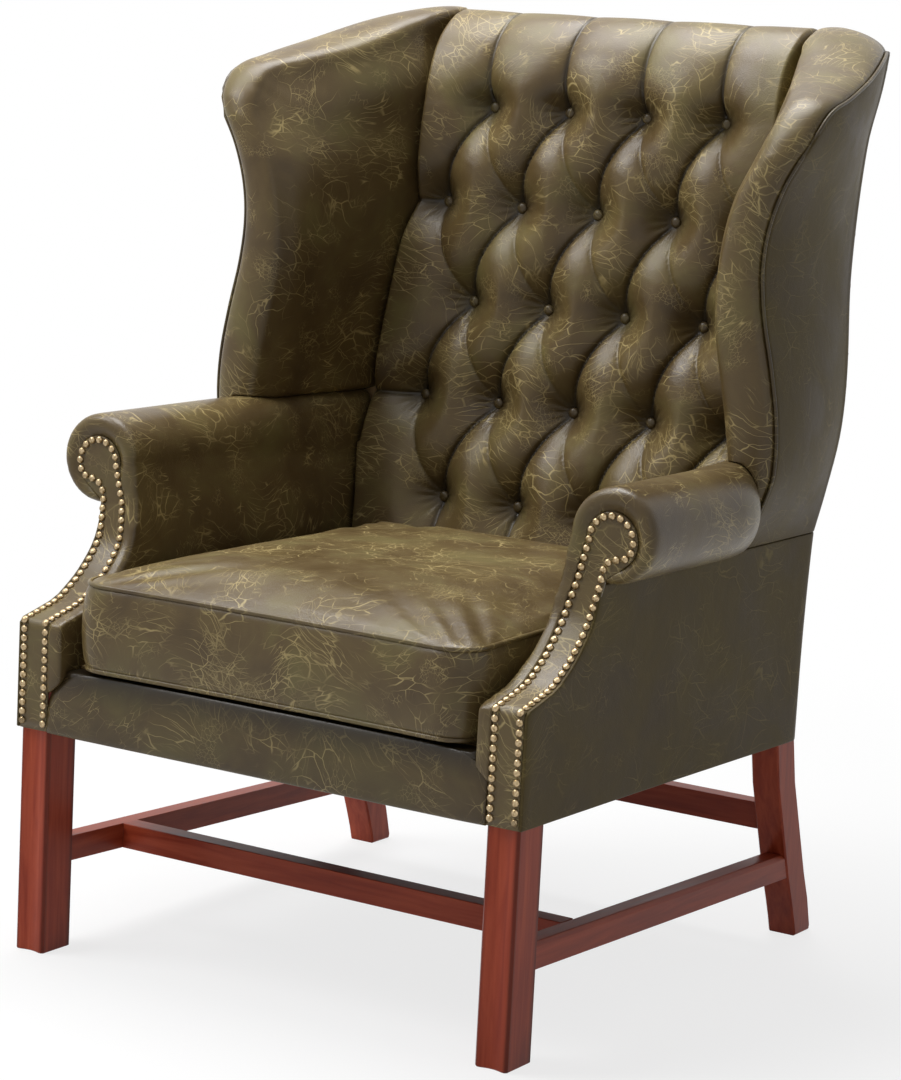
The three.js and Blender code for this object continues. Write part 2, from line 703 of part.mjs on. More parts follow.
// Upholstered frame above the seat
function stumpSolid(grow) {
  const face = sweepDepth - frontProud;
  const base = railTop + clearance - grow;
  const top = armRailTop - armRailHeight - clearance + grow;
  const reach = stumpDepth + grow;
  const frontEdge = sweepShares.map(([deep, high]) => [
    mix(-frontProud, face, deep) - grow, mix(kneeHeight, neckHeight, high),
  ]).filter(([, z]) => z > base + clearance);
  const rearEdge = sweepShares.slice(2).map(([deep, high]) => [
    mix(-frontProud, face, deep) + reach,
    mix(kneeHeight, neckHeight, high) - stumpDepth * deep * (1 - high),
  ]).filter(([, z]) => z > base + clearance);
  const points = [
    [-frontProud - grow, base], ...frontEdge, [face - grow, top], [face + reach, top],
    ...rearEdge.reverse(), [reach - frontProud, base],
  ];
  const width = facingOuterHalf - facingInnerHalf - 2 * stumpInset + 2 * grow;
  return sideBoard(points, facingInnerHalf + stumpInset - grow, width);
}

function postFrontY(z) {
  return backY(z) - coverThickness - clearance - postDepth;
}

function postSolid(grow) {
  const x0 = postHalfX - grow;
  const x1 = postHalfX + postWidth + grow;
  const arcShares = [1, 2 / 3, 1 / 3, 0];
  return loft(levelsBetween(railTop + clearance - grow, postTop + grow).map((z) => {
    const front = postFrontY(z) - grow;
    const rear = postFrontY(z) + postDepth + grow;
    const arc = arcShares.map((share) => {
      const angle = share * Math.PI / 2;
      return [
        x1 - postCornerRadius + postCornerRadius * Math.cos(angle),
        rear - postCornerRadius + postCornerRadius * Math.sin(angle),
        z,
      ];
    });
    return [[x0, front, z], [x0, rear, z], ...arc, [x1, front, z]];
  }));
}

const boardWayShares = [0.03, 0.98]; // ends of a wing board along the way to the post

function wingBoardSolid(grow) {
  return warpedBlock(5, 7, 1, (u, v, w) => {
    const way = mix(...boardWayShares, u);
    const z = mix(wingBoardFoot - grow, wingTop(way) - wingBoardMargin + grow, v);
    const outer = wingBoardInset - grow;
    const [x] = planPoint(wingSide, z, way, mix(outer + wingBoardThickness + 2 * grow, outer, w));
    const ends = mix(-grow, grow, u);
    return [x, mix(wingEdgeY(z), postFrontY(z), way) + ends, z];
  });
}

const railWayShares = [0, 0.35, 0.62, 1];
const railTaperShares = [0, 0, 0.5, 1];

function armRailSolid(grow) {
  const frontY = sweepDepth + armRailSetback - grow;
  const rearY = postFrontY(armRailTop - armRailHeight) - clearance * 2 + grow;
  const outerFront = armRailFrontHalf + armRailFrontWidth;
  const outerRear = postHalfX + postWidth - overrun / 2;
  return warpedBlock(3, 1, 1, (u, v, w) => {
    const i = Math.round(u * 3);
    const inner = mix(armRailFrontHalf, armRailRearHalf, railTaperShares[i] ** 2);
    const outer = mix(outerFront, outerRear, railTaperShares[i]);
    return [
      mix(inner - grow, outer + grow, v),
      mix(frontY, rearY, railWayShares[i]),
      mix(armRailTop - armRailHeight - grow, armRailTop + grow, w),
    ];
  });
}

// Facing of an arm front: rows of [left x, right x, y, z] from the hem up over the scroll
const kneeRow = 2;
// Rows round the scroll, of a quarter turn
const headTurnShares = [-0.61, -0.33, 0, 0.33, 0.58, 0.78, 0.93];

function facingRows(grow) {
  const rows = [];
  const low = [hemFront + clearance, mix(hemFront, kneeHeight, 1 / 2), kneeHeight - clearance];
  for (const z of low) rows.push([facingInnerHalf, facingOuterHalf, -frontProud, z]);
  for (const [deep, high] of sweepShares.slice(1)) {
    const z = mix(kneeHeight, neckHeight, high);
    const lean = facingLean * readShares([[0, 0], [0.65, 0.05], [1, 1]], high);
    rows.push([facingInnerHalf + lean, facingOuterHalf + lean * 2 / 3, armFrontY(z), z]);
  }
  const face = sweepDepth - frontProud;
  for (const share of headTurnShares) {
    const angle = share * Math.PI / 2;
    const reach = scrollRadius * Math.cos(angle);
    const z = scrollHeight + scrollRadius * Math.sin(angle);
    const blend = clamp01((scrollHeight - z) / (scrollHeight - neckHeight));
    const left = Math.min(
      rollHalfX - reach,
      mix(rollHalfX - scrollRadius, facingInnerHalf + facingLean, blend),
    );
    rows.push([left, rollHalfX + reach, face, z]);
  }
  return rows.map(([x0, x1, y, z]) => [x0 - grow, x1 + grow, y, z]);
}

// Outward direction of the facing at a row, in the y-z plane
function facingNormal(rows, i) {
  const before = rows[Math.max(i - 1, 0)];
  const after = rows[Math.min(i + 1, rows.length - 1)];
  const length = Math.hypot(after[2] - before[2], after[3] - before[3]);
  return [-(after[3] - before[3]) / length, (after[2] - before[2]) / length];
}

function facingSolid(front, back, grow) {
  const rows = facingRows(grow);
  const count = rows.length - 1;
  return warpedBlock(1, count, 1, (u, v, w) => {
    const i = Math.round(v * count);
    const [x0, x1, y, z] = rows[i];
    const [ny, nz] = facingNormal(rows, i);
    const offset = mix(-back, front, w);
    return [mix(x0, x1, u), y + ny * offset, z + nz * offset];
  });
}

// Nails run up the inner edge, round the scroll and down the outer edge. The list holds the nails and,
// at the knees, the bends of the strip that joins them.
function nailPath() {
  const rows = facingRows(-nailEdge);
  const up = [];
  const down = [];
  rows.forEach(([x0, x1, y, z], i) => {
    const normal = facingNormal(rows, i);
    const height = i ? Math.min(z, scrollHeight + scrollRadius - nailEdge) : hemFront + nailHem;
    const bend = i === kneeRow;
    up.push({ at: new THREE.Vector3(x0, y, height), normal, bend });
    down.unshift({ at: new THREE.Vector3(x1, y, height), normal, bend });
  });
  const line = [...up, ...down];
  const stops = [];
  let carry = 0;
  line.slice(0, -1).forEach((a, i) => {
    const b = line[i + 1];
    const length = a.at.distanceTo(b.at);
    while (carry < length) {
      const t = carry / length;
      const out = [mix(a.normal[0], b.normal[0], t), mix(a.normal[1], b.normal[1], t)];
      stops.push({ at: a.at.clone().lerp(b.at, t), normal: out, nail: true });
      carry += nailPitch;
    }
    carry -= length;
    if (b.bend) stops.push({ at: b.at, normal: b.normal, nail: false });
  });
  return stops;
}

// A strip of domed heads: each head is a faceted bead, and a narrow web joins it to the next
function nailTrim() {
  const stops = nailPath();
  const rings = [];
  const station = (stop, next, t) => {
    const at = stop.at.clone().lerp(next.at, t);
    const out = new THREE.Vector3(0, ...stop.normal).normalize();
    const wide = stop.nail && !t;
    const across = next.at.clone().sub(stop.at).cross(out).setLength(wide ? nailRadius : nailStripWidth / 2);
    const low = at.clone().addScaledVector(out, clearance * 2);
    const high = low.clone().addScaledVector(out, wide ? nailRise : nailStripThickness);
    rings.push([low.clone().sub(across).toArray(), low.clone().add(across).toArray(), high.toArray()]);
  };
  stops.slice(0, -1).forEach((stop, i) => {
    const next = stops[i + 1];
    station(stop, next, 0);
    if (stop.nail && next.nail) station(stop, next, 1 / 2);
  });
  return loft(rings, [0, 1]);
}

// Inside face of an arm at height z, and half width of the tufted back there
const slabShares = [[0, 0], [0.67, 0.3], [1, 1]];
const backHalfShares = [
  [0, 1], [0.14, 0.98], [0.21, 0.9], [0.34, 0.7], [0.46, 0.47], [0.56, 0.21], [0.77, 0.08], [1, 0],
];

function slabInner(z) {
  return slabInnerHalf + slabRollInset * readShares(slabShares, (z - seatLevel) / (slabTop - seatLevel));
}

function backHalf(z) {
  if (z <= slabTop) return slabInner(z) - clearance * 4;
  const wide = backHalfTop + backHalfSpread
    * readShares(backHalfShares, (z - slabTop) / (crestHeight - slabTop));
  return Math.min(wide, slabInner(slabTop) - clearance * 4);
}

const slabWayShares = [0, 0.04, 0.2, 0.5, 1];

function armSlab() {
  const low = railTop + strapThickness + 2 * clearance;
  const heights = [low, ...sweepLevels.filter((z) => z > low + clearance), neckHeight, slabTop];
  return warpedBlock(slabWayShares.length - 1, heights.length - 1, 2, (u, v, w) => {
    const z = heights[Math.round(v * (heights.length - 1))];
    const way = slabWayShares[Math.round(u * (slabWayShares.length - 1))];
    const soften = w || way ? 0 : slabThickness / 4;
    const y = mix(armFrontY(Math.min(z, neckHeight)) + soften, postFrontY(z) - clearance * 4, way);
    return [slabInner(z) + slabThickness * w, y, z];
  });
}

// The roll swells round the scroll at its front and ends in a rounded butt at the wing. Rows of the
// rim give place along the rim's swelling and share of the rim's width; rows of the butt give place
// along it, share of the radius and share of the way inwards.
const rollRimShares = [[1, 0.35], [0.8, 0.7]];
const rollButtShares = [[-1, 1, 0], [-0.4, 0.94, 0.3], [-0.1, 0.78, 0.7], [0.15, 0.5, 1]];
const rollSides = 18;

function armRoll(grow) {
  const recess = scrollRadius + clearance + nailEdge / 2;
  const face = sweepDepth - frontProud + facingThickness + clearance - grow;
  const stations = [
    [face, recess / 2, rollHalfX, scrollHeight],
    [face, recess, rollHalfX, scrollHeight],
    ...rollRimShares.map(([out, wide]) => [
      face - rollRimProud * out, recess + rollRimWidth * wide, rollHalfX, rollHeight,
    ]),
    [face + rollRimProud, rollRadius, rollHalfX, rollHeight],
    ...rollButtShares.map(([along, round, inward]) => [
      wingFrontY + rollEndLength * along + grow, rollRadius * round,
      mix(rollHalfX, rollRearHalfX, inward), rollHeight,
    ]),
  ];
  return loft(stations.map(([y, radius, x, z]) => {
    const ring = [];
    for (let i = 0; i < rollSides; i += 1) {
      const angle = i / rollSides * 2 * Math.PI;
      ring.push([x + (radius + grow) * Math.cos(angle), y, z + (radius + grow) * Math.sin(angle)]);
    }
    return ring;
  }), [0, 2]);
}

// Plan of a wing pad: outer side, rolled front and inner side
const wingInnerShares = [
  [0, 0.3], [0.1, 0.42], [0.21, 0.34], [0.31, 0.24], [0.42, 0.05],
  [0.53, 0], [0.66, 0.18], [0.76, 0.45], [0.88, 0.92], [1, 1],
];
const rollTurnShares = [0.14, 0.33, 0.5, 0.67, 0.86]; // of the half turn round the front
const innerWayShares = [0.05, 0.15, 0.35, 0.6, 0.85];
const wingCrownShares = [[0.25, 0.7], [0.6, 1]];
const spineShares = [0.04, 0.96]; // ends of the line that the top of a wing pad closes on

function wingInner(z, s) {
  const rise = clamp01((z - slabTop) / (wingCrownHeight - slabTop));
  const front = wingInnerFrontHalf + wingInnerSpread * readShares(wingInnerShares, rise);
  const crown = wingPadRearCrown * 4 * s * (1 - s);
  return mix(front, backHalf(z) + clearance * 5, s) - crown;
}

function wingPad() {
  const air = coverThickness + clearance;
  const spine = (way, z) => {
    const s = Math.min(Math.max(way, spineShares[0]), spineShares[1]);
    const [x, y] = planPoint(wingSide, z, s, air);
    return [(x + wingInner(z, s)) / 2, y];
  };
  const ringAt = (share, shrink, lift) => {
    const ring = [];
    const add = (way, point) => {
      const z = wingRow(share)(way);
      const [x, y] = point(z);
      const [mx, my] = spine(way, z);
      ring.push([mix(x, mx, shrink), mix(y, my, shrink), z + lift]);
    };
    for (const way of [...wingWayShares].reverse()) {
      add(way, (z) => planPoint(wingSide, z, way, way ? coverThickness : air));
    }
    for (const share of rollTurnShares) {
      const angle = share * Math.PI;
      add(0, (z) => {
        const [x, y] = planPoint(wingSide, z, 0, air);
        return [mix(x, wingInner(z, 0), (1 - Math.cos(angle)) / 2), y - wingRollForward * Math.sin(angle)];
      });
    }
    for (const way of innerWayShares) {
      add(way, (z) => [wingInner(z, way), mix(wingEdgeY(z), backY(z) - air, way)]);
    }
    add(2, (z) => [wingInner(z, 1), backY(z) - air]);
    return ring;
  };
  const rings = padLevelShares.map((share) => ringAt(share, 0, 0));
  for (const [shrink, up] of wingCrownShares) rings.push(ringAt(1, shrink, wingCrown * up));
  return loft(rings, [0, 1]);
}

function addBodyFrameAndCovers() {
  const facingRoom = facingSolid(overrun, facingThickness + clearance, clearance * 3);
  const nailRoom = facingSolid(overrun, 0, nailRadius / 2);
  const boardRoom = wingBoardSolid(clearance);
  const railRoom = armRailSolid(clearance);
  const postLine = levelsBetween(neckHeight, postTop + clearance);
  const behindPostFront = warpedBlock(1, 1, postLine.length - 1, (u, v, w) => {
    const z = postLine[Math.round(w * (postLine.length - 1))];
    return [mix(0, legSpread, u), postFrontY(z) + mix(-clearance, postDepth + overrun, v), z];
  });
  bothSides('arm_stump', carve(stumpSolid(0), [facingRoom]), beech);
  bothSides('back_post', postSolid(0), beech);
  bothSides('wing_board', wingBoardSolid(0), beech);
  bothSides('arm_rail', carve(armRailSolid(0), [boardRoom]), beech);

  const armPanel = sideLayer(bodySide, armWayShares, armRows, 0, coverThickness);
  bothSides('outside_arm_panel', carve(armPanel, [facingRoom, nailRoom]), leatherOutside);
  bothSides('outside_wing_panel', sideLayer(wingSide, wingWayShares, wingRows, 0, coverThickness), leatherOutside);

  bothSides('arm_pad', carve(join([armSlab(), armRoll(0)]), [
    stumpSolid(clearance), railRoom, boardRoom, facingRoom, nailRoom, wingCoverRoom(),
  ]), leather);
  bothSides('wing_pad', carve(wingPad(), [
    armRoll(clearance), railRoom, boardRoom, behindPostFront, wingCoverRoom(),
  ]), leather);
  bothSides('arm_facing', facingSolid(0, facingThickness, 0), leather);
  bothSides('nail_trim', nailTrim(), brass);
}

// A block between the posts that follows the rake of the back
function rakedBlock(x0, x1, rear0, rear1, z0, z1) {
  const levels = levelsBetween(z0, z1);
  return warpedBlock(1, 1, levels.length - 1, (u, v, w) => {
    const z = levels[Math.round(w * (levels.length - 1))];
    return [mix(x0, x1, u), backY(z) - mix(rear1, rear0, v), z];
  });
}

// Straps crossing each other in one layer, with the openings between them left free
function strapSheet(halfX, z, crossRows, columns) {
  const first = crossRows[0][0];
  const last = crossRows[crossRows.length - 1][1];
  return join([
    ...crossRows.map(([y0, y1]) => box(-halfX, halfX, y0, y1, z, z + strapThickness)),
    ...columns.map(([x0, x1]) => box(x0, x1, first, last, z, z + strapThickness)),
  ]);
}

// Straps of one width, evenly spread from edge to edge
function straps(from, to, count) {
  const list = [];
  for (let i = 0; i < count; i += 1) {
    const start = mix(from, to - strapWidth, i / (count - 1));
    list.push([start, start + strapWidth]);
  }
  return list;
}

// Tufted back: buttons in staggered rows, pleats from button to button
const buttonRows = [0, 1, 2, 3, 4].map((row) => {
  const odd = row % 2 === 0;
  const columns = odd ? [-3, -1, 1, 3] : [-4, -2, 0, 2, 4];
  return { z: buttonRowBase + row * buttonRowPitch, columns };
});

function pleatLines() {
  const lines = [];
  const top = buttonRows.length - 1;
  buttonRows.forEach(({ z, columns }, row) => {
    for (const column of columns) {
      const x = column * buttonPitch;
      if (row < top) {
        for (const step of [-1, 1]) {
          if (buttonRows[row + 1].columns.includes(column + step)) {
            lines.push([x, z, x + step * buttonPitch, z + buttonRowPitch]);
          }
        }
      }
      if (row === 0) lines.push([x, z, x, z - 2 * buttonRowPitch]);
      if (row === top) lines.push([x, z, x, z + 2 * buttonRowPitch]);
      if (Math.abs(column) === 4) lines.push([x, z, x + Math.sign(column) * 2 * buttonPitch, z]);
    }
  });
  return lines;
}

const pleats = pleatLines();
const diamondInradius = buttonPitch * buttonRowPitch / Math.hypot(buttonPitch, buttonRowPitch);

function tuft(x, z) {
  let pleat = 2 * buttonRowPitch;
  for (const [x0, z0, x1, z1] of pleats) {
    const length = Math.hypot(x1 - x0, z1 - z0);
    const t = clamp01(((x - x0) * (x1 - x0) + (z - z0) * (z1 - z0)) / (length * length));
    pleat = Math.min(pleat, Math.hypot(x - mix(x0, x1, t), z - mix(z0, z1, t)));
  }
  let button = 2 * buttonRowPitch;
  for (const row of buttonRows) {
    for (const column of row.columns) {
      button = Math.min(button, Math.hypot(x - column * buttonPitch, z - row.z));
    }
  }
  const swell = Math.sin(Math.PI / 2 * clamp01(pleat / diamondInradius));
  const lift = 1 - Math.exp(-((button / buttonReach) ** 2));
  return pleatRise * lift + (tuftHeight - pleatRise) * swell ** 0.8;
}

// Line of the buttons in front of the outside back, as shares of the pad's depth at the top row
const padDepthShares = [[0, 1], [0.2, 0.84], [0.36, 0.64], [0.52, 0.71], [0.68, 0.83], [0.84, 1], [1, 1]];
// Roll over the crest: rows of [rearward share, upward share, swell share, slope share]
const crestShares = [
  [0.04, 0.28, 0.95, 0.02], [0.16, 0.56, 0.8, 0.2], [0.4, 0.76, 0.6, 0.45],
  [0.66, 0.87, 0.4, 0.75], [0.88, 0.9, 0.25, 0.95], [1, 0.9, 0, 1],
];

function buttonLineY(z) {
  const share = (z - seatLevel) / (buttonRows[4].z - seatLevel);
  return backY(z) - backPadDepth * readShares(padDepthShares, share * 0.84);
}

// Rows of the tufted front from the seat to the crest: place, outward direction and pattern height
function tuftRows() {
  const rows = [];
  const lowShares = [0, 0.3, 0.56, 0.78];
  for (const share of lowShares) {
    const z = mix(seatLevel, buttonRowBase, share);
    rows.push({ y: buttonLineY(z), z, out: [-1, 0], swell: Math.min(1, share * 1.6), pattern: z });
  }
  for (let i = 0; i <= 12; i += 1) {
    const z = buttonRowBase + i * buttonRowPitch / 3;
    rows.push({ y: buttonLineY(z), z, out: [-1, 0], swell: 1, pattern: z });
  }
  const topRow = buttonRows[4].z;
  const start = buttonLineY(topRow);
  const lastZ = mix(topRow, crestHeight, crestShares[crestShares.length - 1][1]);
  const rear = backY(lastZ) - coverThickness - clearance * 2;
  crestShares.forEach(([back, up, swell, slope], i) => {
    const angle = slope * Math.PI / 2;
    rows.push({
      y: mix(start, rear, back),
      z: mix(topRow, crestHeight, up),
      out: [-Math.cos(angle), Math.sin(angle)],
      swell,
      pattern: topRow + (i + 1) * buttonRowPitch / 3,
    });
  });
  return rows;
}

const tuftColumns = 15;

function tuftPoint(row, column) {
  const half = backHalf(row.z);
  const step = buttonPitch / 3;
  const side = Math.sign(column);
  const index = Math.abs(column);
  const regular = tuftColumns - 2;
  const x = index <= regular
    ? Math.min(index * step, half - (tuftColumns - index) * clearance)
    : mix(Math.min(regular * step, half - clearance * 2), half, (index - regular) / 2);
  const fade = clamp01((half - x) / backSideRoll);
  const edge = Math.sqrt(1 - (1 - fade) ** 2);
  const height = tuft(x, row.pattern) * row.swell * edge;
  return [side * x, row.y + row.out[0] * height, row.z + row.out[1] * height];
}

function backPad() {
  const rows = tuftRows();
  const across = 2 * tuftColumns + 1;
  const positions = [];
  const triangles = [];
  for (const row of rows) {
    for (let c = -tuftColumns; c <= tuftColumns; c += 1) positions.push(...tuftPoint(row, c));
  }
  const rearStart = positions.length / 3;
  const lastZ = rows[rows.length - 1].z;
  rows.forEach((row, k) => {
    const z = Math.min(row.z, lastZ - backPadRear * (rows.length - k));
    const half = backHalf(row.z);
    const y = backY(z) - (k === rows.length - 1 ? coverThickness : backPadRear) - 3 * clearance;
    positions.push(-half, y, z, half, y, z);
  });
  const quad = (a, b, c, d) => triangles.push(a, b, c, a, c, d);
  const heightAt = (index) => positions[index * 3 + 1];
  for (let k = 0; k < rows.length - 1; k += 1) {
    for (let c = 0; c < across - 1; c += 1) {
      const a = k * across + c;
      const [b, d, e] = [a + 1, a + across + 1, a + across];
      if (heightAt(a) + heightAt(d) > heightAt(b) + heightAt(e)) triangles.push(a, b, d, a, d, e);
      else triangles.push(a, b, e, b, d, e);
    }
    const left = rearStart + 2 * k;
    quad(left, k * across, (k + 1) * across, left + 2);
    quad(k * across + across - 1, left + 1, left + 3, (k + 1) * across + across - 1);
    quad(left + 1, left, left + 2, left + 3);
  }
  const closeRow = (row, rear, flip) => {
    for (let c = 0; c < across - 1; c += 1) {
      const a = row * across + c;
      if (flip) triangles.push(rear, a, a + 1);
      else triangles.push(rear, a + 1, a);
    }
    const end = row * across + across - 1;
    if (flip) triangles.push(rear, end, rear + 1);
    else triangles.push(rear, rear + 1, end);
  };
  closeRow(0, rearStart, false);
  closeRow(rows.length - 1, rearStart + 2 * (rows.length - 1), true);
  return closedBody(positions, triangles);
}

function twine(x, z, width, from, to) {
  return box(x - width / 2, x + width / 2, from, to, z - width / 2, z + width / 2);
}

const buttonShares = [[0, 0], [0.9, 0], [1, 0.35], [0.7, 0.8], [0, 1]];
const buttonSides = 7;

// Covered buttons of one row, their twines through the pad and the strip that ties them behind it
function buttonRow({ z, columns }) {
  const behind = backY(z) - coverThickness - 2 * clearance;
  const face = buttonLineY(z) - buttonStand;
  const reach = (columns[columns.length - 1] + 1 / 4) * buttonPitch;
  const lean = Math.atan2(backY(z + tieHeight) - backY(z - tieHeight), 2 * tieHeight);
  const tie = box(-reach, reach, -tieThickness, 0, -tieHeight / 2, tieHeight / 2);
  tie.rotateX(-lean);
  tie.translate(0, behind, z);
  const pieces = [bare(tie)];
  for (const column of columns) {
    const x = column * buttonPitch;
    pieces.push(twine(x, z, twineWidth, face - buttonRise / 2, behind - tieThickness / 2));
    const profile = buttonShares.map(([r, h]) => new THREE.Vector2(r * buttonRadius, h * buttonRise));
    const button = merged(new THREE.LatheGeometry(profile, buttonSides));
    button.rotateX(Math.PI);
    button.translate(x, face, z);
    pieces.push(bare(button));
  }
  return join(pieces);
}

const strapGapShares = [-1.5, 1.5]; // columns of buttons that the upright straps run between

function addBack() {
  const railSpan = postHalfX - clearance;
  const backRail = (low, high, grow) => rakedBlock(
    -railSpan - grow, railSpan + grow, backPadRear - grow, backPadRear + crestRailDepth + grow,
    low - grow, high + grow,
  );
  const crest = (grow) => backRail(postTop - crestRailHeight, postTop, grow);
  const lower = (grow) => backRail(lowerRailBase, lowerRailBase + lowerRailHeight, grow);
  part('crest_rail', crest(0), beech);
  part('lower_back_rail', lower(0), beech);
  const holes = buttonRows.flatMap(({ z, columns }) => columns.map((column) => twine(
    column * buttonPitch, z, twineHole, buttonLineY(z) - buttonRise, backY(z),
  )));
  part('tufted_back_pad', carve(backPad(), [crest(clearance), lower(clearance), ...holes]), leather);
  buttonRows.forEach((row, i) => part(`button_row_${i + 1}`, buttonRow(row), leather));

  // Straps across the back between the rows of buttons, and upright straps joined to them
  const sheetRear = backPadRear - clearance - strapThickness;
  const strap = (x0, x1, z0, z1) => rakedBlock(x0, x1, sheetRear, sheetRear + strapThickness, z0, z1);
  const crossStraps = [
    lowerRailBase, ...buttonRows.slice(0, -1).map(({ z }) => z + (buttonRowPitch - strapWidth) / 2),
    postTop - strapWidth,
  ];
  part('back_webbing', join([
    ...crossStraps.map((z) => strap(-railSpan, railSpan, z, z + strapWidth)),
    ...strapGapShares.map((column) => {
      const middle = column * buttonPitch;
      return strap(middle - strapWidth / 2, middle + strapWidth / 2, lowerRailBase, postTop);
    }),
  ]), jute);

  const levels = [
    ...backLevels.slice(0, 3), seamHeight - clearance,
    ...wingRows.map((row) => row(2)),
  ];
  part('outside_back_panel', warpedBlock(1, 1, levels.length - 1, (u, v, w) => {
    const z = levels[Math.round(w * (levels.length - 1))];
    const side = z > seamHeight ? wingSide(z, 1)[0] : bodyHalfWidth;
    const half = side - bodyCornerRadius - clearance;
    return [mix(-half, half, u), backY(z) - coverThickness * (1 - v), z];
  }), leatherOutside);
}

// The cushion reaches back to the pillows that it meets.
const cushionTop = seatLevel + clearance + cushionBorder + cushionCrown;
const backFaceY = Math.min(...tuftRows().filter(({ z }) => z < cushionTop).map((row) => (
  row.y - tuftHeight * row.swell
)));
const cushionDepth = backFaceY - cushionBackGap - cushionFrontY;
const cushionTurnShares = [0, 1 / 3, 2 / 3, 1];
const cushionSideShares = [0.2, 0.4, 0.6, 0.8];

// Cushion plan: a rounded box, narrower at the rear, with sides that pull in between the corners
function cushionOutline(inset) {
  const points = [];
  const corners = [
    [1, 0], [1, 1], [-1, 1], [-1, 0],
  ];
  const radius = Math.max(cushionCornerRadius - inset, cushionCornerRadius / 4);
  const halfAt = (share) => mix(cushionHalfFront, cushionHalfRear, share) - inset;
  const yAt = (share) => cushionFrontY + mix(inset, cushionDepth - inset, share);
  corners.forEach(([side, end], i) => {
    const cx = side * (halfAt(end) - radius);
    const cy = yAt(end) + (end ? -radius : radius);
    const start = [-Math.PI / 2, 0, Math.PI / 2, Math.PI][i];
    for (const share of cushionTurnShares) {
      const angle = start + share * Math.PI / 2;
      points.push([cx + radius * Math.cos(angle), cy + radius * Math.sin(angle)]);
    }
    const [nextSide, nextEnd] = corners[(i + 1) % 4];
    const nx = nextSide * (halfAt(nextEnd) - radius);
    const ny = yAt(nextEnd) + (nextEnd ? -radius : radius);
    const endAngle = start + Math.PI / 2;
    const from = [cx + radius * Math.cos(endAngle), cy + radius * Math.sin(endAngle)];
    const to = [nx + radius * Math.cos(endAngle), ny + radius * Math.sin(endAngle)];
    const pull = [Math.cos(endAngle), Math.sin(endAngle)];
    for (const t of cushionSideShares) {
      const in4 = cushionSidePull * 4 * t * (1 - t);
      points.push([mix(from[0], to[0], t) - pull[0] * in4, mix(from[1], to[1], t) - pull[1] * in4]);
    }
  });
  return points;
}

function cushion() {
  const low = seatLevel + clearance;
  const high = low + cushionBorder;
  const narrow = Math.min(cushionHalfRear, cushionDepth / 2);
  const ring = (inset, z) => cushionOutline(inset).map(([x, y]) => [x, y, z]);
  const piped = (z) => [
    ring(cushionPiping, z - cushionPiping), ring(0, z), ring(cushionPiping, z + cushionPiping),
  ];
  const rings = [ring(narrow * 0.6, low), ring(cushionPiping * 3, low)];
  rings.push(...piped(low + 2 * cushionPiping));
  rings.push(ring(cushionPiping - cushionBelly, mix(low, high, 0.5)));
  rings.push(...piped(high - cushionPiping));
  const crownShares = [[0.04, 0.22], [0.14, 0.58], [0.3, 0.86], [0.55, 0.98], [0.8, 1]];
  for (const [inward, up] of crownShares) {
    rings.push(ring(narrow * inward, high + cushionCrown * up));
  }
  return loft(rings, [0, 1]);
}

// Apron: rows of [forward share, height share, bulge share] from the hem to the top edge
const apronShares = [
  [0, 0, 0], [1, 0, 0.15], [1, 0.35, 1], [1, 0.7, 0.9], [0.85, 0.9, 0.6], [0.4, 1, 0.1], [0, 1, 0],
];
// Places along the apron from its middle to its end, with the share of the drop there
const apronDropShares = [[0, 0], [0.5, 0], [0.86, 0.08], [0.94, 0.42], [0.975, 0.72], [1, 1]];

function apron() {
  const half = legSpread / 2 - frontLegWidth - clearance;
  const face = deckFrontY - clearance;
  const rollLow = railTop + strapThickness + 2 * clearance;
  const right = apronDropShares.slice(1).reverse().map(([place, drop]) => [-place, drop]);
  const front = loft([...right, ...apronDropShares].map(([place, drop]) => {
    const top = apronTop - apronEndDrop * drop;
    return apronShares.map(([forward, up, bulge]) => [
      place * half,
      mix(face, -frontProud, forward) - apronBulge * bulge * (1 - drop),
      mix(hemFront, top, up),
    ]);
  }), [1, 2]);
  const rollHalf = slabInnerHalf - cushionPiping;
  const roll = box(-rollHalf, rollHalf, face / 2, deckFrontY + apronSetback, rollLow, apronTop - clearance);
  return join([front, roll]);
}

function addSeat() {
  const deckLow = railTop + strapThickness + 2 * clearance;
  const webHalf = bodyHalfWidth - overrun;
  const webRear = postFrontY(railTop) + overrun;
  const webbing = strapSheet(
    webHalf, railTop + clearance,
    straps(deckFrontY + clearance, webRear, 5), straps(-webHalf, webHalf, 5),
  );
  const frames = [stumpSolid(clearance), postSolid(clearance)];
  part('seat_webbing', carve(webbing, [...frames, ...frames.map(mirrored)]), jute);
  part('seat_deck', box(
    -deckHalfX, deckHalfX, deckFrontY + apronSetback + clearance,
    backY(seatLevel) - coverThickness - clearance * 2, deckLow, seatLevel - clearance,
  ), jute);
  part('front_apron', apron(), leather);

  part('seat_cushion', cushion(), leather);

  const railLow = railTop - railHeight;
  const half = bodyHalfWidth - coverThickness - dustCoverInset;
  const front = deckFrontY;
  const legInner = legSpread / 2 - frontLegWidth - clearance;
  const legRear = frontLegDepth + clearance;
  const backEdge = backY(railLow) - coverThickness - dustCoverInset;
  const rearLegFrontAt = rearLegFront(hemRear) - clearance - dustCoverInset;
  const rearInner = rearLegSpread / 2 - rearLegWidth - clearance;
  const quarter = [
    [legInner, front], [legInner, legRear], [half, legRear], [half, rearLegFrontAt],
    [rearInner, rearLegFrontAt], [rearInner, backEdge],
  ];
  const outline = [...quarter, ...quarter.map(([x, y]) => [-x, y]).reverse()];
  const dust = turnedExtrusion(shapeOf(outline), dustCoverThickness);
  dust.translate(0, 0, railLow - clearance - dustCoverThickness);
  part('dust_cover', bare(dust), cambric);
}

addLegFrame();
addBodyFrameAndCovers();
addBack();
addSeat();

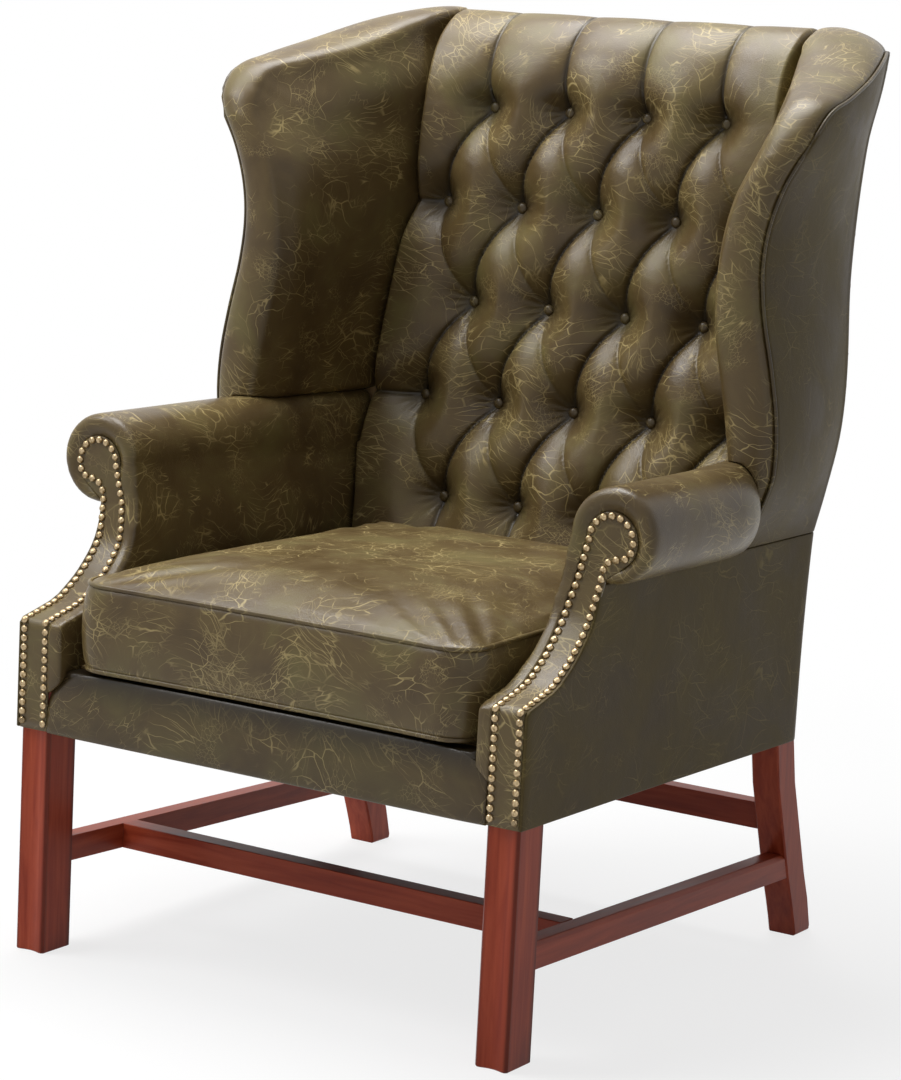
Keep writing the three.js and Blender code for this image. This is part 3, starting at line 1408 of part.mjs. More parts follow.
const bounds = new THREE.Box3().setFromObject(chair);
chair.position.y = -(bounds.min.y + bounds.max.y) / 2;

export default chair;
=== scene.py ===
from functools import partial
import math

import bmesh
import bpy
import numpy as np
from mathutils import Matrix, Vector
from mathutils.bvhtree import BVHTree


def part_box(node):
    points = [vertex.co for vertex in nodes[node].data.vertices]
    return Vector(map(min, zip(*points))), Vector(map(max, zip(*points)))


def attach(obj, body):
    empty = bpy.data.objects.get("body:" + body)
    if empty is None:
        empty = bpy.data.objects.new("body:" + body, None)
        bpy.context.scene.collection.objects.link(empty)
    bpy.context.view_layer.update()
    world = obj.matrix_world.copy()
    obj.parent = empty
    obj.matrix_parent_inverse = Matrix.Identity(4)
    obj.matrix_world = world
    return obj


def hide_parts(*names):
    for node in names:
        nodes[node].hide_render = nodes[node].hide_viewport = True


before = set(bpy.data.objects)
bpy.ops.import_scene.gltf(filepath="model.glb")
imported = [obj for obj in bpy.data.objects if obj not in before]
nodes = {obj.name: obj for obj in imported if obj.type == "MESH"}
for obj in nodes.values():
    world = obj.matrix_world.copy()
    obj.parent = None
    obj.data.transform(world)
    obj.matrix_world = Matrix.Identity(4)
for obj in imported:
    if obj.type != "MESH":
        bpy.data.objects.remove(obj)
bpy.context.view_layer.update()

# Shapes below are in millimetres. There y is 0 at the front face of the front legs, +X is the sitter's left.
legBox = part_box("front_leg_left")
legFaceY = legBox[0].y


# Small tools for tables, meshes and nodes

def spot(x, y, z):  # millimetres to the frame's metres
    return Vector((x / 1000, y / 1000 + legFaceY, z / 1000))


def mix(a, b, t):
    return a + (b - a) * t


def clamp(value):
    return min(max(value, 0), 1)


def readTable(rows, at):  # smooth value of a table of (place, value) rows, level beyond both ends
    last = len(rows) - 1
    if at <= rows[0][0]:
        return rows[0][1]
    if at >= rows[last][0]:
        return rows[last][1]
    i = 0
    while at > rows[i + 1][0]:
        i += 1

    def slope(k):
        before, after = rows[max(k - 1, 0)], rows[min(k + 1, last)]
        return (after[1] - before[1]) / (after[0] - before[0])

    span = rows[i + 1][0] - rows[i][0]
    t = (at - rows[i][0]) / span
    t2, t3 = t * t, t * t * t
    return ((2 * t3 - 3 * t2 + 1) * rows[i][1] + (t3 - 2 * t2 + t) * span * slope(i)
            + (3 * t2 - 2 * t3) * rows[i + 1][1] + (t3 - t2) * span * slope(i + 1))


def readColumns(rows, at):  # the same for each column of a table whose rows are one step apart
    return [readTable(list(enumerate(column)), at) for column in zip(*rows)]


def circle(sides):  # cosine and sine of each corner
    return [(math.cos(2 * math.pi * k / sides), math.sin(2 * math.pi * k / sides)) for k in range(sides)]


def gridFaces(rows, cols, wrap=False):
    faces = []
    for r in range(rows - 1):
        for c in range(cols if wrap else cols - 1):
            d = (c + 1) % cols
            faces.append((r * cols + c, r * cols + d, (r + 1) * cols + d, (r + 1) * cols + c))
    return faces


def addObject(name, data):
    obj = bpy.data.objects.new(name, data)
    bpy.context.scene.collection.objects.link(obj)
    return obj


def makePiece(name, points, faces, surface):
    mesh = bpy.data.meshes.new(name)
    mesh.from_pydata([spot(*p) for p in points], [], faces)
    return wrapMesh(name, mesh, surface)


def wrapMesh(name, mesh, surface):
    work = bmesh.new()
    work.from_mesh(mesh)
    bmesh.ops.recalc_face_normals(work, faces=work.faces)
    work.to_mesh(mesh)
    work.free()
    mesh.shade_smooth()
    mesh.materials.clear()
    mesh.materials.append(surface)
    return addObject(name, mesh)


def loftPiece(name, rings, surface):  # closed body through rings of equal length
    count = len(rings[0])
    points = [p for ring in rings for p in ring]
    faces = gridFaces(len(rings), count, wrap=True)
    for ring, start in ((rings[0], 0), (rings[-1], (len(rings) - 1) * count)):
        points.append(tuple(sum(p[k] for p in ring) / count for k in range(3)))
        middle = len(points) - 1
        faces += [(start + c, start + (c + 1) % count, middle) for c in range(count)]
    return makePiece(name, points, faces, surface)


def shellPiece(name, outer, inner, surface, turn):  # two skins, closed by a rim with its edges turned over
    rows, cols = len(outer), len(outer[0])
    half = rows * cols
    top = half - cols
    faces = gridFaces(rows, cols)
    faces += [tuple(half + i for i in face[::-1]) for face in faces]
    for c in range(cols - 1):
        faces.append((c, half + c, half + c + 1, c + 1))
        faces.append((top + c + 1, half + top + c + 1, half + top + c, top + c))
    for a in range(0, top, cols):
        b, c, d = a + cols, a + cols - 1, a + 2 * cols - 1
        faces.append((b, half + b, half + a, a))
        faces.append((c, half + c, half + d, d))
    piece = makePiece(name, [p for ring in outer + inner for p in ring], faces, surface)
    change(piece, "BEVEL", width=turn / 1000, segments=3, limit_method="ANGLE", angle_limit=math.radians(50))
    return bake(piece)


def bake(obj):  # the modifiers become the mesh
    deps = bpy.context.evaluated_depsgraph_get()
    mesh = bpy.data.meshes.new_from_object(obj.evaluated_get(deps), depsgraph=deps)
    old = obj.data
    obj.modifiers.clear()
    obj.data = mesh
    bpy.data.meshes.remove(old)
    obj.data.shade_smooth()
    return obj


def assign(target, settings):
    for key, value in settings.items():
        setattr(target, key, value)
    return target


def change(obj, kind, **settings):
    return assign(obj.modifiers.new(kind.lower(), kind), settings)


def remesh(piece, voxel, rounds=0):  # one clean skin, voxel in millimetres, smoothed so many rounds
    change(piece, "REMESH", mode="VOXEL", voxel_size=voxel / 1000, use_smooth_shade=True)
    if rounds:
        change(piece, "SMOOTH", factor=0.5, iterations=rounds)
    return bake(piece)


def weld(name, pieces, surface):  # several bodies in one mesh
    work = bmesh.new()
    for piece in pieces:
        work.from_mesh(piece.data)
        old = piece.data
        bpy.data.objects.remove(piece)
        bpy.data.meshes.remove(old)
    mesh = bpy.data.meshes.new(name)
    work.to_mesh(mesh)
    work.free()
    return wrapMesh(name, mesh, surface)


def cut(piece, *cutters):
    for cutter in cutters:
        before = len(piece.data.vertices)
        change(piece, "BOOLEAN", operation="DIFFERENCE", object=cutter, solver="EXACT")
        bake(piece)
        print("cut", piece.name, "by", cutter.name, before, "to", len(piece.data.vertices), "points")


def tube(name, path, radius, surface, closed=False, sides=10):  # round bead along a path, in millimetres
    points = [Vector(p) for p in path]
    count = len(points)
    rings = []
    previous = None
    for i, p in enumerate(points):
        before = points[i - 1] if closed or i else p
        after = points[(i + 1) % count] if closed or i < count - 1 else p
        along = (after - before).normalized()
        if previous is None:
            upright = Vector((0, 0, 1)) if abs(along.z) < 0.9 else Vector((1, 0, 0))
            previous = along.cross(upright).normalized()
        side = previous = (previous - along * previous.dot(along)).normalized()
        other = along.cross(side)
        rings.append([tuple(p + radius * (c * side + s * other)) for c, s in circle(sides)])
    if not closed:
        return loftPiece(name, rings, surface)
    faces = gridFaces(count, sides, wrap=True)
    last = (count - 1) * sides
    end = Vector(rings[-1][0]) - points[-1]
    shift = min(range(sides), key=lambda k: (Vector(rings[0][k]) - points[0] - end).length)
    for k in range(sides):  # the last ring joins the first, turned to meet it
        after = (k + 1) % sides
        faces.append((last + k, last + after, (k + 1 + shift) % sides, (k + shift) % sides))
    return makePiece(name, [p for ring in rings for p in ring], faces, surface)


def turned(profile, at, out, sides):  # rings of a turned shape that stands out from a point
    right = Vector((1, 0, 0))
    up = out.cross(right)
    return [[tuple(at + out * high + radius * (c * right + s * up)) for c, s in circle(sides)]
            for radius, high in profile]


def paintShade(piece, shares):  # share of painted shade at each point, which the leather reads: it mixes in its dark "deep" colour by that share
    piece.data.attributes.new("paintedShade", "FLOAT", "POINT").data.foreach_set("value", shares)
    return piece


# painted shade of one share over a whole piece
def paintShadeAll(piece, share):
    return paintShade(piece, [share] * len(piece.data.vertices))


def settle(piece, body, slotName, *replaced, fill=None):
    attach(piece, body)
    if replaced:
        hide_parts(*replaced)
    return piece


def settlePair(left, slotName, node=None, fill=None):  # a left piece and its mirror image
    mesh = left.data.copy()
    mesh.transform(Matrix.Diagonal((-1, 1, 1, 1)))
    mesh.flip_normals()
    right = addObject(left.name.replace("left", "right"), mesh)
    for piece, side in ((right, "right"), (left, "left")):
        replaced = [f"{node}_{side}"] if node else []
        settle(piece, "frame", slotName, *replaced, fill=fill)


def hexColour(code):  # sRGB hex to the linear values that nodes take
    channels = [int(code[i:i + 2], 16) / 255 for i in (1, 3, 5)]
    return [c / 12.92 if c <= 0.04045 else ((c + 0.055) / 1.055) ** 2.4 for c in channels] + [1.0]


def plug(tree, node, inputs):  # a node's first output or a socket is linked, hex codes and numbers are set
    for key, value in inputs.items():
        if isinstance(value, bpy.types.Node):
            value = value.outputs[0]
        if isinstance(value, bpy.types.NodeSocket):
            tree.links.new(value, node.inputs[key])
        else:
            node.inputs[key].default_value = hexColour(value) if isinstance(value, str) else value


def addNode(tree, kind, inputs=None, stops=(), **settings):
    made = assign(tree.nodes.new("ShaderNode" + kind), settings)
    plug(tree, made, inputs or {})
    for i, (place, colour) in enumerate(stops):
        element = made.color_ramp.elements[i] if i < 2 else made.color_ramp.elements.new(place)
        element.position = place
        element.color = hexColour(colour)
    return made


def newMaterial(name):  # with one function that adds nodes and one that sets the shader's inputs
    material = bpy.data.materials.new(name)
    material.use_nodes = True
    tree = material.node_tree
    return material, partial(addNode, tree), partial(plug, tree, tree.nodes["Principled BSDF"])


def perMetre(millimetres):  # texture scale whose cells are that wide
    return 1000 / millimetres


camera = {
    "location": (2.1224, -3.3346, 1.1715),
    "target": (0.013354, -0.028287, 0.506568),
    "roll": 2.905,  # degrees
    "lens": 109.315,
    "sensor": 36.0,
}


def addCamera():
    data = bpy.data.cameras.new("portraitCamera")
    data.lens = camera["lens"]
    data.sensor_width = data.sensor_height = camera["sensor"]
    data.clip_end = 60
    obj = addObject("portraitCamera", data)
    place, target = Vector(camera["location"]), Vector(camera["target"])
    forward = (target - place).normalized()
    right = forward.cross(Vector((0, 0, 1))).normalized()
    up = right.cross(forward)
    roll = math.radians(camera["roll"])
    axisX = math.cos(roll) * right + math.sin(roll) * up
    axisY = -math.sin(roll) * right + math.cos(roll) * up
    turn = Matrix((axisX, axisY, -forward)).transposed().to_4x4()
    obj.matrix_world = Matrix.Translation(place) @ turn
    bpy.context.scene.camera = obj


addCamera()
print("camera placed")


# Materials

# Pull-up cowhide, waxed, tumbled and hand-rubbed: satin, olive brown, with thin ochre scratches and crackle
# where it has been bent or rubbed. Down in the folds its dark, dull "deep" colour is painted in: painted
# shade.
tumbledLeather = {
    "deep": "#1c150b", "low": "#4c3c23", "body": "#59492c", "high": "#655a35", "rubbed": "#6b5b36",
    "crack": "#b8a571",
    "line": 0.42,  # mm, half a scratch, drawn wider than the real 0.15 mm so that it shows
    "stretch": 0.3,  # width of a scratched cell against its length
    "long": 17.0, "middle": 12.0, "hair": 7.5,  # mm between scratches that run side by side
    "net": 30.0, "crackle": 6.0,  # mm, cells of the two nets
    "patch": 95.0,  # mm, size of the worn patches
    "grain": 1.5,  # mm between pores
    "wear": 0.7, "roughness": 0.34, "specular": 0.32,
}
# The same hide, pressed flat and pulled over boards: plainer, darker, few scratches.
boardedLeather = {
    # "deep" is the colour of painted shade here too
    "deep": "#1f170d", "low": "#483b25", "body": "#50442a", "high": "#594d30", "rubbed": "#5e5230",
    "crack": "#8c7c4d",
    "line": 0.42, "stretch": 0.3, "long": 34.0, "middle": 19.0, "hair": 12.0, "net": 75.0, "crackle": 9.0,
    "patch": 150.0, "grain": 1.5, "wear": 0.45, "roughness": 0.46, "specular": 0.08,
}
# Clouds that both share, in mm: slow and fast bending of the lines, breaks in them, mottling.
leatherClouds = {"drift": 140, "jitter": 22, "breaks": 45, "mottle": 85}
leatherBends = {"drift": 0.12, "jitter": 0.007}  # metres


def makeLeather(name, look):
    material, add, shade = newMaterial(name)
    place = add("TexCoord").outputs["Object"]

    def shifted(vector, cloud, reach):  # coordinates bent by a noise colour, reach in metres
        centred = add("VectorMath", {0: cloud.outputs["Color"], 1: (0.5, 0.5, 0.5)}, operation="SUBTRACT")
        return add("VectorMath", {0: centred, 1: (reach, reach, reach), 2: vector}, operation="MULTIPLY_ADD")

    def band(value, low, high, bottom=0.0, top=1.0):
        ends = {"From Min": low, "From Max": high, "To Min": bottom, "To Max": top}
        return add("MapRange", {"Value": value, **ends}, interpolation_type="SMOOTHSTEP")

    def combine(operation, *values):
        result = values[0]
        for value in values[1:]:
            result = add("Math", {0: result, 1: value}, operation=operation)
        return result

    def channels(size, offset):  # three clouds of one size
        moved = add("VectorMath", {0: place, 1: offset}, operation="ADD")
        cloud = add("TexNoise", {"Vector": moved, "Scale": perMetre(size), "Detail": 2.0})
        return add("SeparateColor", {0: cloud.outputs["Color"]}).outputs

    def net(vector, size, line):
        cells = add("TexVoronoi", {"Vector": vector, "Scale": perMetre(size)}, feature="DISTANCE_TO_EDGE")
        return band(cells, 0.0, line / size, 1.0, 0.0)

    def scratches(spacing, turn):  # edges of long flat cells: lines side by side that meet at small angles
        across = add("Mapping", {"Vector": warped, "Rotation": turn})
        longer = (1.0, look["stretch"], look["stretch"])
        flat = add("VectorMath", {0: across, 1: longer}, operation="MULTIPLY")
        return net(flat, spacing, look["line"])

    drift = add("TexNoise", {"Vector": place, "Scale": perMetre(leatherClouds["drift"]), "Detail": 1.0})
    jitter = add("TexNoise", {"Vector": place, "Scale": perMetre(leatherClouds["jitter"]), "Detail": 2.0})
    bent = shifted(place, drift, leatherBends["drift"])
    warped = shifted(bent, jitter, leatherBends["jitter"])
    worn = channels(look["patch"], (0.0, 0.0, 0.0))
    small = channels(look["patch"] * 0.45, (3.1, 1.7, 5.3))
    broken = channels(leatherClouds["breaks"], (7.7, 2.9, 0.4))
    first, second = band(worn[0], 0.5, 0.6), band(worn[1], 0.51, 0.61)
    layers = [  # lines, where the leather is worn, where the lines break off
        (scratches(look["long"], (0.4, 0.9, 0.3)), first, band(broken[0], 0.32, 0.58)),
        (scratches(look["middle"], (1.2, 0.5, 1.0)), first, band(broken[1], 0.36, 0.62)),
        (scratches(look["long"] * 0.7, (0.9, 1.7, 0.6)), second, band(broken[2], 0.34, 0.6)),
        (scratches(look["hair"], (0.9, -0.7, 2.2)), band(small[1], 0.52, 0.64), band(broken[0], 0.4, 0.66)),
        (net(warped, look["net"], look["line"]), band(worn[2], 0.5, 0.62), band(broken[1], 0.34, 0.6)),
        (net(warped, look["crackle"], look["line"] * 0.8), band(small[0], 0.57, 0.68), 0.7),
    ]
    lines = combine("MAXIMUM", *(combine("MULTIPLY", *layer) for layer in layers))
    shown = combine("MULTIPLY", lines, look["wear"])

    mottle = add("TexNoise", {"Vector": bent, "Scale": perMetre(leatherClouds["mottle"]), "Detail": 4.0,
                              "Roughness": 0.55})
    tone = add("ValToRGB", {0: mottle}, stops=[(0.3, look["low"]), (0.7, look["high"]), (0.5, look["body"])])
    rubbed = combine("MULTIPLY", band(worn[0], 0.44, 0.66), look["wear"] * 0.6)
    # painted shade: the dark "deep" colour is mixed in by each piece's share of painted shade
    paintedShade = add("Attribute", attribute_name="paintedShade").outputs["Fac"]
    colour = tone
    for share, over in ((rubbed, "rubbed"), (shown, "crack"), (paintedShade, "deep")):
        colour = add("Mix", {0: share, 6: colour, 7: look[over]}, data_type="RGBA").outputs[2]
    pores = add("TexVoronoi", {"Vector": place, "Scale": perMetre(look["grain"])})
    height = add("Math", {0: pores, 1: 0.3, 2: jitter}, operation="MULTIPLY_ADD")
    shade({
        "Base Color": colour,
        "Roughness": band(mottle, 0.3, 0.7, look["roughness"] - 0.04, look["roughness"] + 0.07),
        "Normal": add("Bump", {"Height": height, "Strength": 0.35, "Distance": 0.0012}),
        "IOR": 1.5,
        "Specular IOR Level": look["specular"],
    })
    return material


# Mahogany, planed, stained red and lacquered by hand: deep red brown with a soft gloss and darker streaks
# along the grain.
lacqueredMahogany = {
    # "edge": colour of the legs' dark edges, partly a shaded finish and partly painted shade
    "dark": "#842f1b", "body": "#993f27", "light": "#aa4d32", "edge": "#3d0f09",
    "streak": 9.0,  # mm across the grain
    "pore": 0.9,  # mm, drawn wider than the real 0.2 mm
    "roughness": 0.36, "specular": 0.16, "coat": 0.04,
}
# Beech, sawn and left raw inside the frame: pale, dry, with short flecks.
sawnBeech = {
    "dark": "#b08b5c", "body": "#caa878", "light": "#d9bd90",
    "streak": 9.0, "pore": 1.4, "roughness": 0.7, "specular": 0.3, "coat": 0.0,
}


def makeWood(name, look, along, post=None):  # post: middle and half width in x and y of a leg with dark edges, partly a shaded finish and partly painted shade
    material, add, shade = newMaterial(name)
    place = add("TexCoord").outputs["Object"]
    stretch = [1.0, 1.0, 1.0]
    stretch["xyz".index(along)] = 0.07
    grain = add("Mapping", {"Vector": place, "Scale": stretch})
    streaks = add("TexNoise", {"Vector": grain, "Scale": perMetre(look["streak"]), "Detail": 5.0,
                               "Distortion": 0.6})
    tone = add("ValToRGB", {0: streaks},
               stops=[(0.28, look["dark"]), (0.74, look["light"]), (0.5, look["body"])])
    pores = add("TexNoise", {"Vector": grain, "Scale": perMetre(look["pore"]), "Detail": 2.0})
    filled = add("MapRange", {"Value": pores, "From Min": 0.56, "From Max": 0.7, "To Max": 0.25})
    colour = add("Mix", {0: filled, 6: tone, 7: look["dark"]}, data_type="RGBA").outputs[2]
    # dark towards the vertical edges of the legs: partly a shaded finish, partly painted shade of the moulded
    # corners
    if post:
        axes = add("SeparateXYZ", {0: place}).outputs
        away = []
        for axis, (middle, half) in zip((add("Math", {0: axes[0]}, operation="ABSOLUTE"), axes[1]), post):
            moved = add("Math", {0: axis, 1: middle}, operation="SUBTRACT")
            size = add("Math", {0: moved}, operation="ABSOLUTE")
            away.append(add("Math", {0: size, 1: half}, operation="DIVIDE"))
        nearer = add("Math", {0: away[0], 1: away[1]}, operation="MINIMUM")
        blur = add("Math", {0: streaks, 1: 0.3, 2: nearer}, operation="MULTIPLY_ADD")
        edge = add("MapRange", {"Value": blur, "From Min": 0.8, "From Max": 1.15, "To Max": 0.75},
                   interpolation_type="SMOOTHSTEP")
        colour = add("Mix", {0: edge, 6: colour, 7: look["edge"]}, data_type="RGBA").outputs[2]
    shade({
        "Base Color": colour,
        "Roughness": add("MapRange", {"Value": streaks, "To Min": look["roughness"] - 0.06,
                                      "To Max": look["roughness"] + 0.1}),
        "Normal": add("Bump", {"Height": pores, "Strength": 0.12, "Distance": 0.0004}),
        "Specular IOR Level": look["specular"],
        "Coat Weight": look["coat"],
        "Coat Roughness": 0.18,
    })
    return material


# Brass nail heads, stamped, washed antique and lacquered: warm and soft, brown where the wash has stayed.
stampedBrass = {"wash": "#7d6743", "metal": "#bba684", "mark": 3.0, "roughness": 0.3}  # mark in mm


def makeBrass(name, look):
    material, add, shade = newMaterial(name)
    place = add("TexCoord").outputs["Object"]
    marks = add("TexNoise", {"Vector": place, "Scale": perMetre(look["mark"]), "Detail": 3.0})
    shade({
        "Base Color": add("ValToRGB", {0: marks}, stops=[(0.3, look["wash"]), (0.6, look["metal"])]),
        "Roughness": add("MapRange", {"Value": marks, "To Min": look["roughness"] + 0.12,
                                      "To Max": look["roughness"] - 0.05}),
        "Normal": add("Bump", {"Height": marks, "Strength": 0.1, "Distance": 0.0003}),
        "Metallic": 1.0,
    })
    return material


# Jute webbing and hessian, plain woven: dry, straw coloured, coarse threads. Pitch in mm.
wovenJute = {"gap": "#5d4728", "thread": "#b39868", "pitch": 2.4, "roughness": 0.9}
# Cambric, plain woven and dyed black: flat and matt.
dyedCambric = {"gap": "#0e0e0e", "thread": "#262524", "pitch": 1.6, "roughness": 0.95}


def makeCloth(name, look):
    material, add, shade = newMaterial(name)
    place = add("TexCoord").outputs["Object"]
    scale = 0.314 * perMetre(look["pitch"])  # a wave texture of scale 1 has a period of pi / 10
    threads = [
        add("TexWave", {"Vector": place, "Scale": scale, "Distortion": 0.6, "Detail": 2.0},
            bands_direction=direction).outputs["Fac"]
        for direction in "XYZ"
    ]
    crossed = add("Math", {0: threads[0], 1: threads[1]}, operation="MAXIMUM")
    cloth = add("Math", {0: crossed, 1: threads[2]}, operation="MULTIPLY")
    shade({
        "Base Color": add("ValToRGB", {0: cloth}, stops=[(0.1, look["gap"]), (0.7, look["thread"])]),
        "Normal": add("Bump", {"Height": cloth, "Strength": 0.4, "Distance": 0.0006}),
        "Roughness": look["roughness"],
    })
    return material


leather = makeLeather("tumbledPullUpLeather", tumbledLeather)
plainLeather = makeLeather("boardedPullUpLeather", boardedLeather)
legPost = [((legBox[0][i] + legBox[1][i]) / 2, (legBox[1][i] - legBox[0][i]) / 2) for i in range(2)]
postWood = makeWood("lacqueredMahoganyPost", lacqueredMahogany, "z", legPost)
mahogany = {axis: makeWood(f"lacqueredMahogany{way}", lacqueredMahogany, axis)
            for axis, way in (("z", "Upright"), ("y", "Side"), ("x", "Cross"))}
beech = {axis: makeWood(f"sawnBeech{way}", sawnBeech, axis)
         for axis, way in (("z", "Upright"), ("x", "Cross"), ("y", "Side"))}
brass = makeBrass("stampedAntiqueBrass", stampedBrass)
jute = makeCloth("wovenJute", wovenJute)
cambric = makeCloth("dyedCambric", dyedCambric)
print("materials made")


# Hidden frame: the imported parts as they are, with their own wood or cloth

def dress(surface, *names):
    for name in names:
        nodes[name].data.materials.clear()
        nodes[name].data.materials.append(surface)


def bothNames(*names):
    return [f"{name}_{side}" for name in names for side in ("left", "right")]


dress(beech["z"], *bothNames("arm_stump", "back_post", "wing_board"))
dress(beech["z"], *bothNames("front_corner_block", "rear_corner_block"))
dress(beech["y"], *bothNames("side_seat_rail", "arm_rail"))
dress(beech["x"], "front_seat_rail", "rear_seat_rail", "crest_rail", "lower_back_rail")
dress(jute, "back_webbing", "seat_webbing", "seat_deck")
dress(cambric, "dust_cover")

# Legs and stretchers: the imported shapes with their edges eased
easing = {"width": 1.1, "segments": 3, "sharp": 28}  # mm, and degrees from which an edge counts as one


def easeEdges(name, pieceName, surface):
    mesh = nodes[name].data.copy()
    work = bmesh.new()
    work.from_mesh(mesh)
    bmesh.ops.remove_doubles(work, verts=work.verts, dist=0.00002)
    bmesh.ops.dissolve_limit(work, angle_limit=math.radians(1), verts=work.verts, edges=work.edges)
    work.to_mesh(mesh)
    work.free()
    piece = wrapMesh(pieceName, mesh, surface)
    change(piece, "BEVEL", width=easing["width"] / 1000, segments=easing["segments"], limit_method="ANGLE",
           angle_limit=math.radians(easing["sharp"]), harden_normals=False)
    change(piece, "WEIGHTED_NORMAL", keep_sharp=False)
    settle(bake(piece), "frame", "polished_mahogany", name)


for side in ("left", "right"):
    easeEdges(f"front_leg_{side}", f"frontLeg_{side}", postWood)
    easeEdges(f"rear_leg_{side}", f"rearLeg_{side}", mahogany["z"])
    easeEdges(f"side_stretcher_{side}", f"sideStretcher_{side}", mahogany["y"])
easeEdges("cross_stretcher", "crossStretcher", mahogany["x"])
easeEdges("rear_stretcher", "rearStretcher", mahogany["x"])
print("legs and stretchers eased")


# Outline of the upholstered body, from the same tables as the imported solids
body = {
    "hemFront": 274, "hemRear": 265.5, "hemRearY": 668, "backTop": 1132, "rake": 117,
    "halfWidth": 352, "flare": 2.8, "flareRun": 263, "corner": 28, "proud": 4, "cover": 4.4,
    "seam": 527, "knee": 405, "neck": 531, "sweepDepth": 147, "air": 0.3,
}
sweepTable = [(0, 0), (0.09, 0.03), (0.26, 0.08), (0.415, 0.135), (0.55, 0.23),
              (0.67, 0.33), (0.777, 0.45), (0.865, 0.57), (0.93, 0.71), (1, 1)]  # depth against rise
riseTable = [(high, deep) for deep, high in sweepTable]
backLine = [(0, 0), (0.156, 0.026), (0.307, 0.12), (0.502, 0.368), (0.732, 0.658), (1, 1)]
armFace = body["sweepDepth"] - body["proud"]
hidden = body["cover"] + body["air"]  # from the outside of a panel to the pad behind it


def armFrontY(z):
    if z <= body["knee"]:
        return -body["proud"]
    high = (z - body["knee"]) / (body["neck"] - body["knee"])
    return mix(-body["proud"], armFace, readTable(riseTable, high))


def backY(z):
    share = (z - body["hemRear"]) / (body["backTop"] - body["hemRear"])
    return body["hemRearY"] + body["rake"] * readTable(backLine, share)


wing = {
    "frontY": 440, "crown": 1060, "flare": 82, "rearBump": 17, "baseSetback": 24, "foot": 545,
    "bulge": 21, "shoulder": 990, "cornerShare": 0.08, "rollForward": 15, "crownRise": 13, "rearLift": 21,
    "ease": (5, 19), "easeReach": (20, 50),  # mm, behind the front edge and behind the top edge
    "nose": 4, "noseAt": 50, "noseReach": 55, "noseFrom": 600, "noseRun": 60,  # swell behind the front edge
    "meet": 0.74,  # share of the depth at which the top already meets the tufted pad
    "innerHalf": 308, "innerSpread": 62, "rearCrown": 5, "low": 528, "lowInner": 330,
    "overArm": 644, "overArmRun": 16,  # height at which the inside starts to draw back over the arm roll
    "liftFrom": 0.45, "fadeFrom": 0.75,  # shares of the way back along the top
    "thin": 6, "behind": 2, "voxel": 3.5, "smooth": 5, "welt": 2.2,
}
wingFrontTable = [(0, 0), (0.045, 0.25), (0.09, 0.43), (0.13, 0.55), (0.19, 0.66), (0.3, 0.645), (0.41, 0.52),
                  (0.53, 0.34), (0.63, 0.27), (0.72, 0.33), (0.81, 0.525), (0.91, 0.87), (1, 1)]
wingRearTable = [(0, 0), (0.08, 0.5), (0.2, 1), (0.32, 0.85), (0.53, 0), (0.78, -0.15), (0.9, 0.4), (1, 0.6)]
wingBulgeTable = [(0, 0), (0.18, 0.35), (0.53, 0.45), (0.78, 0.85), (1, 1)]
wingTopTable = [(0, 0), (0.02, 0.17), (0.1, 0.38), (0.25, 0.493), (0.5, 0.655), (0.73, 0.8), (0.9, 0.86),
                (1, 0.873)]
wingInnerTable = [(0, 0.42), (0.1, 0.51), (0.21, 0.4), (0.31, 0.25), (0.42, 0.07),
                  (0.53, 0), (0.66, 0.09), (0.76, 0.31), (0.88, 0.8), (1, 1)]


def wingEdgeY(z):
    low = clamp((wing["foot"] + wing["baseSetback"] * 2 - z) / (wing["baseSetback"] * 2))
    return wing["frontY"] + wing["baseSetback"] * low * low


# Ways run along a side: 0 at its front edge, 1 where the rear corner starts, 2 at the back face
def wingSide(z, s):
    rise = (z - body["seam"]) / (wing["crown"] - body["seam"])
    tall = (z - body["seam"]) / (body["backTop"] - body["seam"])
    front = body["halfWidth"] + wing["flare"] * readTable(wingFrontTable, rise)
    rear = body["halfWidth"] + wing["rearBump"] * readTable(wingRearTable, tall)
    bulge = wing["bulge"] * readTable(wingBulgeTable, tall) * 4 * s * (1 - s)
    return mix(front, rear, s) + bulge, mix(wingEdgeY(z), backY(z) - body["corner"], s)


def bodySide(z, s):
    y = mix(armFrontY(z), backY(z) - body["corner"], s)
    flare = max(0, 1 - (y + body["proud"]) / body["flareRun"])
    return body["halfWidth"] + body["flare"] * flare, y


def planPoint(side, z, way, inset):
    x, y = side(z, min(way, 1))
    if way <= 1:
        return x - inset, y
    angle = (way - 1) * math.pi / 2
    radius = body["corner"] - inset
    return x - body["corner"] + radius * math.cos(angle), y + radius * math.sin(angle)


def wingTop(way):
    share = way * (1 - wing["cornerShare"]) if way <= 1 else mix(1 - wing["cornerShare"], 1, way - 1)
    return mix(wing["shoulder"], body["backTop"], readTable(wingTopTable, share))


def hemAt(way):
    return mix(body["hemFront"], body["hemRear"], min(way, 1))


# Outside panels: leather over thin wadding, with turned edges
panel = {
    "turn": 1.76, "rows": 40, "ways": 44, "cornerWays": 12, "backTurn": 1.7, "backRows": 70, "backCols": 40,
    "fallFrom": 900,  # height from which the upper corners of the back fall
}
backCornerTable = [(262, 0), (300, 8), (333, 18)]  # that fall, by the distance from the middle


def sidePanel(name, side, low, high):
    ways = np.concatenate([np.linspace(0, 1, panel["ways"]), np.linspace(1, 2, panel["cornerWays"])[1:]])

    def skin(inset):
        rings = []
        for r in range(panel["rows"] + 1):
            heights = [mix(low(way), high(way), r / panel["rows"]) for way in ways]
            rings.append([(*planPoint(side, z, way, inset), z) for way, z in zip(ways, heights)])
        return rings

    return shellPiece(name, skin(0), skin(body["cover"]), plainLeather, panel["turn"])


